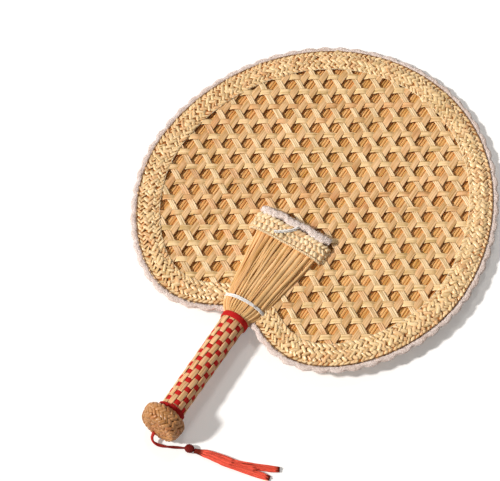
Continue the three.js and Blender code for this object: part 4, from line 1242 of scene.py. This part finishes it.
def woven_ribbon():
    """The ribbon: a flat strip wound down the grip, out over every other stake and in under the next."""
    handle = sizes_of("handle")
    last = handle.shoulder_along + RIBBON_END
    end = (handle.ribbon_start - last) * handle.stakes / handle.ribbon_pitch
    crossing = np.linspace(-0.6, end, int(end * 7))
    along = crossing_height(crossing)
    radius = grip_at(along) - RIBBON_DEPTH + RIBBON_WAVE * plateau(np.cos(np.pi * crossing))
    path = handle_path(2 * np.pi * crossing / handle.stakes + STAKE_TWIST * along, radius, along)
    section = np.array(RIBBON_SHARES) * (handle.ribbon_width / 2, RIBBON_HALF_THICKNESS)
    return swept(path, len(crossing), section)


class FAN_OT_grip(Operator):
    """Weaves the grip: thirteen straw stakes and the red ribbon wound through them"""

    bl_idname = "fan.grip"
    bl_label = "Woven grip"

    def execute(self, context):
        handle = sizes_of("handle")
        straw = straw_material("Grip straw", handle.straw, specular=0.1, coat=0.6, **PLAITED | {"Shine": 0.3})
        add_piece("grip_stakes", grip_stakes(np.random.default_rng(61)), straw,
                  ["straw_sleeve", "straw_filler"])
        # A dark inner shell inside the stakes: painted shade seen between them
        ends, sides = np.array((handle.shoulder_along, CORE_TOP)), 24
        bar = handle.core_radius * round_handle(full_turn(sides))[0] + ends[:, None, None] * ALONG
        core = tubes(bar[None], np.arange(sides + 1) * handle.core_radius * 2 * np.pi / sides, ends, 0.5)
        add_piece("grip_core_shade", core, painted_shade_material("Grip core", handle.core))
        ribbon = strand_material("Red ribbon", handle.ribbon, 2.0, 3800.0, 0.5, 0.00006, 0.05)
        add_piece("woven_ribbon", woven_ribbon(), ribbon, ["red_ribbon"])
        bamboo = straw_material("Bamboo", handle.rod, on_object=True, Fibre=2400.0, Streaks=0.6)
        bpy.data.objects["core_rod"].material_slots[0].material = bamboo
        return {"FINISHED"}


class FAN_OT_bindings(Operator):
    """Winds the red tape round the neck and the thin red cord above the knob"""

    bl_idname = "fan.bindings"
    bl_label = "Red bindings"

    def execute(self, context):
        handle = sizes_of("handle")
        rng = np.random.default_rng(71)
        stations, sides = 300, 16
        path = handle_path(full_turn(180), handle.grip_radius + TAPE_GAP, 0.0, True)
        along = path.steps(stations)
        section = np.broadcast_to(oval(TAPE_WIDTH, TAPE_THICKNESS, sides, 3.2), (stations, sides, 2)).copy()
        ribs = TAPE_RIB_HEIGHT * np.sin(2 * np.pi * along * round(path.length / TAPE_RIB) / path.length)
        ribs = ribs + TAPE_UNEVENNESS * wander(along, TAPE_WAVE, rng)
        section[..., 1] += ribs[:, None] * (section[..., 1] > 0)
        section[..., 0] *= 1 + 0.03 * wander(along, TAPE_WAVE, rng)[:, None]
        tape = strand_material("Neck tape", handle.ribbon, 40.0, 5700.0, 0.5, 0.00008, 0.05)
        add_piece("neck_tape_wrap", swept(path, stations, section), tape, ["neck_tape"])
        angle = np.linspace(0, 2 * np.pi * handle.cord_turns, 400)
        middle = handle.shoulder_along + BINDING_PLACE
        path = handle_path(angle, grip_at(middle) + BINDING_GAP,
                           middle - BINDING_STEP * (angle / (2 * np.pi) - handle.cord_turns / 2))
        cord = twisted(path, BINDING_STRAND_REACH, BINDING_STRAND_GIRTH, BINDING_TWIST, rng, 900, tint=0.3)
        material = strand_material("Binding cord", handle.ribbon, 2400.0, 2600.0, 0.5)
        add_piece("lower_binding_cord", cord, material, ["lower_binding"])
        return {"FINISHED"}


# Knob

KNOB_STRAW_HALF_LENGTH, KNOB_STRAW_HALF_WIDTH, KNOB_STRAW_HALF_HEIGHT = 0.0034, 0.0019, 0.0013
KNOB_STRAW_LEAN = math.radians(46)
KNOB_STRAW_SINK, KNOB_STRAW_UNEVENNESS = 0.0004, 0.00008
KNOB_CORE_GAP, KNOB_CORE_STEP = 0.0009, 0.0017
KNOB_SHARES = ((0.62, -0.02), (0.88, 0.0), (0.955, 0.07), (1.0, 0.29), (0.98, 0.5), (0.94, 0.75), (0.9, 0.92),
               (0.8, 1.0), (0.5, 1.01), (0.1, 1.02))


def knob_profile(samples):
    """The knob's profile from shoulder to end, as (radius, depth): the shares with corners cut thrice."""
    knob = sizes_of("knob")
    line = np.array(KNOB_SHARES) * (knob.radius, knob.length)
    for _ in range(3):
        cut = np.stack([0.75 * line[:-1] + 0.25 * line[1:], 0.25 * line[:-1] + 0.75 * line[1:]], 1)
        line = np.concatenate([line[:1], cut.reshape(-1, 2), line[-1:]])
    return spaced(line, samples)


def leaning(points):
    """Leans the knob's end sideways, more and more from the shoulder down."""
    knob = sizes_of("knob")
    depth = sizes_of("handle").shoulder_along - points[..., 1]
    moved = points - (knob.offset, 0, 0)
    moved[..., 1] -= knob.skew * points[..., 0] * depth / knob.length
    return moved


class FAN_OT_knob(Operator):
    """Plaits the knob: slanting straw lumps in rows round a turned body, from its shoulder to its end"""

    bl_idname = "fan.knob"
    bl_label = "Plaited knob"

    def execute(self, context):
        knob, shoulder = sizes_of("knob"), sizes_of("handle").shoulder_along
        rng = np.random.default_rng(83)
        profile = knob_profile(40)
        # A dark turned body under the straws: painted shade seen between them
        rings = (profile[:, :1] - KNOB_CORE_GAP)[..., None] * round_handle(full_turn(64))[0]
        rings[..., 1] = shoulder - profile[:, 1:]
        core = tubes(leaning(rings)[None], np.arange(65) * KNOB_CORE_STEP, profile[:, 1])
        add_piece("knob_core_shade", core, painted_shade_material("Knob core", knob.core))
        bodies = []
        slopes = unit(np.gradient(profile, axis=0))
        for row, place in enumerate(np.linspace(0.08, 0.95, knob.rows) * (len(profile) - 1)):
            radius, depth = profile[int(place)]
            down, deeper = slopes[int(place)]
            number = max(6, round(2 * np.pi * radius / knob.spacing))
            turn = (np.arange(number) + 0.5 * (row % 2)) * 2 * np.pi / number + rng.normal(0, 0.02, number)
            out_flat, side = round_handle(turn)
            along = down * out_flat - deeper * ALONG
            outward = deeper * out_flat + down * ALONG
            centre = radius * out_flat + (shoulder - depth) * ALONG
            sink = KNOB_STRAW_SINK + rng.normal(0, KNOB_STRAW_UNEVENNESS, number)
            centre = centre - sink[:, None] * outward
            lean = KNOB_STRAW_LEAN * (1 if row % 2 else -1) + rng.normal(0, 0.08, number)[:, None]
            long_way = along * np.cos(lean) + side * np.sin(lean)
            bodies.append(lumps(leaning(centre), long_way, np.cross(outward, long_way), outward,
                                KNOB_STRAW_HALF_LENGTH * rng.normal(1, 0.06, number),
                                KNOB_STRAW_HALF_WIDTH * rng.normal(1, 0.08, number),
                                KNOB_STRAW_HALF_HEIGHT, rng.random(number)))
        # The knob's straw colour holds painted shade of its lower side
        straw = straw_material("Knob plait", knob.plait, 0.0001, 0.05, 0.6, **PLAITED | {"Streaks": 0.85})
        add_piece("knob_plait", joined(*bodies), straw,
                  ["knob_shell", "knob_button", "knob_wad"])
        return {"FINISHED"}


# Tassel

# Route of the cord from its exit: across, along and height, in metres
CORD_ROUTE = (
    (0, 0, 0), (0, -0.0015, -0.0001), (0.0001, -0.0032, -0.0005), (0.0005, -0.0047, -0.0014),
    (0.0015, -0.0059, -0.0025), (0.003, -0.0066, -0.0038), (0.0052, -0.0065, -0.005),
    (0.0079, -0.0059, -0.006), (0.0109, -0.0047, -0.0068), (0.014, -0.0033, -0.0071),
    (0.017, -0.0017, -0.0073), (0.02, -0.0002, -0.0073), (0.0228, 0.0012, -0.0071),
    (0.0254, 0.0022, -0.0064), (0.0274, 0.0029, -0.0055),
)
CORD_EXIT_ACROSS = -0.0041
CORD_EXIT_BELOW = 0.01
CORD_EXIT_GAP = 0.0005
KNOT_GAP, KNOT_STEP = 0.0003, 0.0005
STRAND_REACH, STRAND_REACH_LOSS = 0.00058, 0.00018
STRAND_GIRTH, STRAND_GIRTH_LOSS, STRAND_TWIST = 0.0019, 0.0005, 0.026

# Each lock's stations: shares of the silk's length along and aside, of its half width and of its thickness
SKIRT_SHARES = ((0, 0, 0.38, 0.6), (0.073, 0, 0.48, 0.73), (0.148, 0, 0.78, 0.93), (0.293, -0.016, 0.9, 1),
                (0.473, -0.032, 0.96, 0.93), (0.645, -0.026, 1.08, 0.83), (0.762, -0.017, 1, 0.73))
LONG_LOCK_SHARES = ((0.293, -0.012, 0.5, 0.9), (0.508, -0.011, 0.52, 0.77), (0.713, 0.014, 0.6, 0.73),
                    (0.89, 0.041, 0.58, 0.63), (1, 0.064, 0.42, 0.47))
SHORT_LOCK_SHARES = ((0.293, -0.02, 0.5, 0.9), (0.497, -0.052, 0.52, 0.77), (0.693, -0.059, 0.6, 0.73),
                     (0.835, -0.061, 0.56, 0.6), (0.924, -0.064, 0.38, 0.43))
# Stations, number of threads, their girth, and how far the cut end frays
SILK_LOCKS = ((SKIRT_SHARES[:5], 190, 0.0009, 0), (SKIRT_SHARES, 120, 0.00085, 0.05),
              (LONG_LOCK_SHARES, 130, 0.0008, 0.2), (SHORT_LOCK_SHARES, 130, 0.0008, 0.2))
SILK_SURFACE_LENGTH = 0.06


def smooth_route(route, samples):
    """Centripetal Catmull-Rom line: cubic pieces whose slopes weigh a step by the root of its length."""
    points = np.array(route, float)
    full = np.concatenate([[2 * points[0] - points[1]], points, [2 * points[-1] - points[-2]]])
    gap = np.sqrt(np.linalg.norm(np.diff(full, axis=0), axis=1))[:, None]
    p0, p1, p2, p3 = full[:-3], full[1:-2], full[2:-1], full[3:]
    d0, d1, d2 = gap[:-2], gap[1:-1], gap[2:]
    slope1 = ((p1 - p0) / d0 - (p2 - p0) / (d0 + d1) + (p2 - p1) / d1) * d1
    slope2 = ((p2 - p1) / d1 - (p3 - p1) / (d1 + d2) + (p3 - p2) / d2) * d1
    t = np.linspace(0, 1, samples, endpoint=False)[None, :, None]
    line = ((2 * t ** 3 - 3 * t ** 2 + 1) * p1[:, None] + (t ** 3 - 2 * t ** 2 + t) * slope1[:, None]
            + (3 * t ** 2 - 2 * t ** 3) * p2[:, None] + (t ** 3 - t ** 2) * slope2[:, None])
    return np.concatenate([line.reshape(-1, 3), points[-1:]])


def table_frame(run):
    """A direction on the table and the direction to its left."""
    ahead = unit(np.array((run[0], run[1], 0)))
    return ahead, np.cross(UP, ahead)


def cord_exit():
    """Where the cord leaves the knob's end, in the scene."""
    knob = sizes_of("knob")
    end = sizes_of("handle").shoulder_along - knob.length - knob.skew * CORD_EXIT_ACROSS
    return placed(np.array((CORD_EXIT_ACROSS, end - CORD_EXIT_GAP, -CORD_EXIT_BELOW)))


def knot_middle():
    """The knot's middle on the table, a radius past the cord's end."""
    before, end = np.array(CORD_ROUTE[-2:])
    ahead, _ = table_frame(end - before)
    return (cord_exit() + end + ahead * (sizes_of("tassel").knot_radius + KNOT_GAP)) * (1, 1, 0)


def lock_frames(shares, samples):
    """A lock's middle line, sideways direction, half width and thickness, read between its stations."""
    tassel = sizes_of("tassel")
    table = np.array(shares, float)
    where = np.linspace(table[0, 0], table[-1, 0], samples)
    aside, wide, thick = between(where, table[:, 0], table[:, 1:]).T
    ahead, left = table_frame((math.cos(tassel.heading), math.sin(tassel.heading)))
    start = tassel.knot_radius + KNOT_GAP
    line = (knot_middle() + (start + where * (tassel.skirt_length - start))[:, None] * ahead
            + (aside * tassel.skirt_length)[:, None] * left)
    side = np.cross(UP, unit(np.gradient(line, axis=0)))
    return line, side, wide * tassel.skirt_half_width, thick * tassel.skirt_thickness


def silk_lock(shares, threads, girth, rng, fray, samples=40, sides=5):
    """A lock of silk: threads packed in an oval that follows the lock's line, each wandering a little.

    A thread keeps its own share of the oval's width and height, and frays outwards towards the cut end.
    """
    line, side, half, thick = lock_frames(shares, samples)
    radius = np.sqrt(rng.random(threads))
    angle = rng.uniform(0, 2 * np.pi, threads)
    across, up = (radius * np.cos(angle))[:, None], (radius * np.sin(angle))[:, None]
    t = np.broadcast_to(np.linspace(0, 1, samples), (threads, samples))
    spread = 0.86 + fray * np.clip(t - 0.75, 0, 1) * 4
    place_across = (across * spread + 0.1 * wander(t, 0.6, rng)) * half
    place_up = thick / 2 * (1 + 0.84 * up) + 0.06 * thick * wander(t, 0.5, rng)
    station = t * (1 - 0.07 * rng.random((threads, 1))) * (samples - 1)
    low = np.minimum(np.floor(station).astype(int), samples - 2)
    part = (station - low)[..., None]
    points = line[low] * (1 - part) + line[low + 1] * part + place_across[..., None] * side[low]
    points[..., 2] = np.maximum(place_up, girth * 0.6)
    run = unit(np.gradient(points, axis=1))
    beside = unit(np.cross(UP, run))
    rings = rings_on(points, beside, np.cross(run, beside), oval(girth, girth, sides))
    shift = rng.uniform(0, 1, (threads, 1))
    # Painted shade: threads along three crease lines of the lock darken, most in the middle of its length
    crease_shade = sum(np.exp(-((across - place) / 0.09) ** 2) for place in (-0.45, 0.15, 0.55))
    tint = (0.35 * rng.random((threads, 1)) ** 2 + 0.5 * crease_shade * np.sin(np.pi * t) ** 4
            + np.clip(20 * (t - 0.95), 0, 1) * (shares[-1][0] > 0.8)
            + np.clip(2.2 - 9 * t, 0, 1) * (shares[0][0] == 0))
    return tubes(rings, np.arange(sides + 1) * girth * 0.6 + shift, t * SILK_SURFACE_LENGTH + shift,
                 np.clip(tint, 0, 0.97))


def knot_wraps(flat=0.86, stations=40, sides=48):
    """The knot: a flattened ball whose surface swells in slanting wraps round the cord's direction."""
    ball = sizes_of("tassel").knot_radius
    before, end = np.array(CORD_ROUTE[-2:])
    ahead, aside = table_frame(end - before)
    share = np.linspace(-0.97, 0.97, stations)[:, None]
    wraps = np.abs(np.sin(2.6 * np.pi * share + full_turn(sides)))
    radius = ball * np.sqrt(1 - share ** 2) * (0.88 + 0.1 * wraps)
    middle = knot_middle() + ball * flat * UP + share * ball * 1.04 * ahead
    rings = rings_on(middle, aside, flat * UP, radius[..., None] * oval(2, 2, sides))
    return tubes(rings[None], np.arange(sides + 1) * KNOT_STEP, share[:, 0] * ball, 0.75)


class FAN_OT_tassel(Operator):
    """Lays out the doubled cord, the wrapped knot and the silk threads"""

    bl_idname = "fan.tassel"
    bl_label = "Tassel"

    def execute(self, context):
        tassel = sizes_of("tassel")
        rng = np.random.default_rng(97)
        start = cord_exit()
        free = start + smooth_route(CORD_ROUTE, 8)
        inside = lock_frames(SKIRT_SHARES, 30)[0][:9] + (0, 0, tassel.skirt_thickness / 2)
        route = spaced(np.concatenate([free, inside]), 130)
        run = np.linspace(0, 1, 170)
        reach = STRAND_REACH - STRAND_REACH_LOSS * np.minimum(1, 2 * run)
        cord = twisted(Path(route, (0.2, 0.3, 1.0)), reach, STRAND_GIRTH - STRAND_GIRTH_LOSS * run,
                       STRAND_TWIST, rng, len(run), 10, tint=np.clip(2.2 * run - 0.25, 0, 0.7))
        red = strand_material("Tassel cord", tassel.cord, 3000.0, 2600.0, 0.5)
        strands = add_piece("tassel_cord_strands", cord, red, ["tassel_cord"], None,
                            in_blade_frame=False)
        knot_piece = add_piece("tassel_knot_wraps", knot_wraps(), red, ["tassel_knot"], "tassel",
                               in_blade_frame=False)
        silk = joined(*(silk_lock(shares, threads, girth, rng, fray)
                        for shares, threads, girth, fray in SILK_LOCKS))
        shiny = strand_material("Silk", tassel.silk, 2600.0, 8.0, 0.4, 0.00008)
        silk_piece = add_piece("tassel_silk", silk, shiny, ["tassel_skirt"], "tassel",
                               in_blade_frame=False)
        start + (0, -0.0018, 0)
        start + (0.0057, -0.005, 0)
        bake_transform(strands)
        return {"FINISHED"}


# Stage

LAMP_COLOUR = (1.0, 0.97, 0.93)
KEY_LIGHT_WAY = (-1.0, -0.95, 1.15)
SECOND_LIGHT_WAY = (-0.264, 0.424, 0.866)
FLOOR_GLOW = 0.22
WHITE = (1, 1, 1, 1)


class FAN_OT_stage(Operator):
    """Sets the camera, the pale floor and the soft light"""

    bl_idname = "fan.stage"
    bl_label = "Camera, floor and light"

    def execute(self, context):
        scene, stage = context.scene, sizes_of("stage")
        scene.view_settings.view_transform = "Standard"
        sine, cosine = math.sin(CAMERA_AZIMUTH), math.cos(CAMERA_AZIMUTH)
        level = math.cos(CAMERA_ELEVATION)
        right = np.array((cosine, sine, 0))
        back = np.array((sine * level, -cosine * level, math.sin(CAMERA_ELEVATION)))
        turn = np.stack([right, np.cross(back, right), back]) @ BLADE_AXES
        lens = bpy.data.cameras.new("Camera")
        lens.lens, lens.sensor_width, lens.sensor_fit = CAMERA_LENS, SENSOR_WIDTH, "HORIZONTAL"
        camera = bpy.data.objects.new("Camera", lens)
        camera.matrix_world = Matrix.Translation(placed(np.array(CAMERA_PLACE))) @ Matrix(turn.T).to_4x4()
        scene.collection.objects.link(camera)
        scene.camera = camera
        self.floor(scene, stage)
        self.lights(scene, stage)
        return {"FINISHED"}

    def floor(self, scene, stage):
        half = stage.floor_half
        mesh = bpy.data.meshes.new("floor")
        mesh.from_pydata([(-half, -half, 0), (half, -half, 0), (half, half, 0), (-half, half, 0)], [],
                         [(0, 1, 2, 3)])
        material = bpy.data.materials.new("Floor")
        material.use_nodes = True
        tree = material.node_tree
        shader = tree.nodes["Principled BSDF"].inputs
        shader["Base Color"].default_value = (*stage.floor, 1)
        shader["Roughness"].default_value = 0.9
        shader["Emission Color"].default_value = WHITE
        seen = wire(tree, "ShaderNodeLightPath", output="Is Camera Ray")
        tree.links.new((seen * FLOOR_GLOW).output, shader["Emission Strength"])
        mesh.materials.append(material)
        floor = bpy.data.objects.new("floor", mesh)
        scene.collection.objects.link(floor)

    def lights(self, scene, stage):
        for name, strength, softness, way in (
                ("Key light", stage.sun_strength, stage.sun_softness, KEY_LIGHT_WAY),
                ("Second light", stage.glint_strength, 2 * stage.sun_softness, SECOND_LIGHT_WAY)):
            sun = bpy.data.lights.new(name, "SUN")
            sun.energy, sun.angle, sun.color = strength, softness, LAMP_COLOUR
            lamp = bpy.data.objects.new(name, sun)
            lamp.rotation_mode = "QUATERNION"
            lamp.rotation_quaternion = Vector(np.array(way) @ BLADE_AXES).to_track_quat("Z", "Y")
            scene.collection.objects.link(lamp)
        world = bpy.data.worlds.new("Studio")
        world.use_nodes = True
        tree = world.node_tree
        sky = tree.nodes["Background"].inputs
        seen = wire(tree, "ShaderNodeLightPath", output="Is Camera Ray")
        for kind in ("Is Glossy Ray", "Is Transmission Ray"):
            seen = seen.math("MAXIMUM", wire(tree, "ShaderNodeLightPath", output=kind))
        tree.links.new(seen.mixed((*stage.sky, 1), WHITE).output, sky["Color"])
        tree.links.new(seen.math("MAXIMUM", stage.sky_strength).output, sky["Strength"])
        scene.world = world


GROUPS = {"blade": FanBlade, "weave": FanWeave, "border": FanBorder, "brace": FanBrace, "handle": FanHandle,
          "knob": FanKnob, "tassel": FanTassel, "stage": FanStage}
OPERATORS = (FAN_OT_stage, FAN_OT_tassel, FAN_OT_mat, FAN_OT_weave, FAN_OT_border, FAN_OT_rim_trim,
             FAN_OT_braces, FAN_OT_bands, FAN_OT_grip, FAN_OT_bindings, FAN_OT_knob)


class FAN_PT_panel(Panel):
    """Lists the fan's pieces in the sidebar"""

    bl_idname = "FAN_PT_panel"
    bl_label = "Straw Fan"
    bl_space_type = "VIEW_3D"
    bl_region_type = "UI"
    bl_category = "Straw Fan"

    def draw(self, context):
        for operator in OPERATORS:
            self.layout.operator(operator.bl_idname)
        for name, group in GROUPS.items():
            box = self.layout.box()
            for key in group.__annotations__:
                box.prop(sizes_of(name), key)


CLASSES = (*GROUPS.values(), *OPERATORS, FAN_PT_panel)


def register():
    for each in CLASSES:
        bpy.utils.register_class(each)
    for name, group in GROUPS.items():
        setattr(bpy.types.Scene, "fan_" + name, PointerProperty(type=group))


def unregister():
    for name in GROUPS:
        delattr(bpy.types.Scene, "fan_" + name)
    for each in reversed(CLASSES):
        bpy.utils.unregister_class(each)


def main():
    register()
    bpy.ops.fan.stage()
    bpy.ops.fan.tassel()
    bpy.ops.fan.mat()
    bpy.ops.fan.weave()
    bpy.ops.fan.border()
    bpy.ops.fan.rim_trim()
    bpy.ops.fan.braces()
    bpy.ops.fan.bands()
    bpy.ops.fan.grip()
    bpy.ops.fan.bindings()
    bpy.ops.fan.knob()


if __name__ == "__main__":
    main()
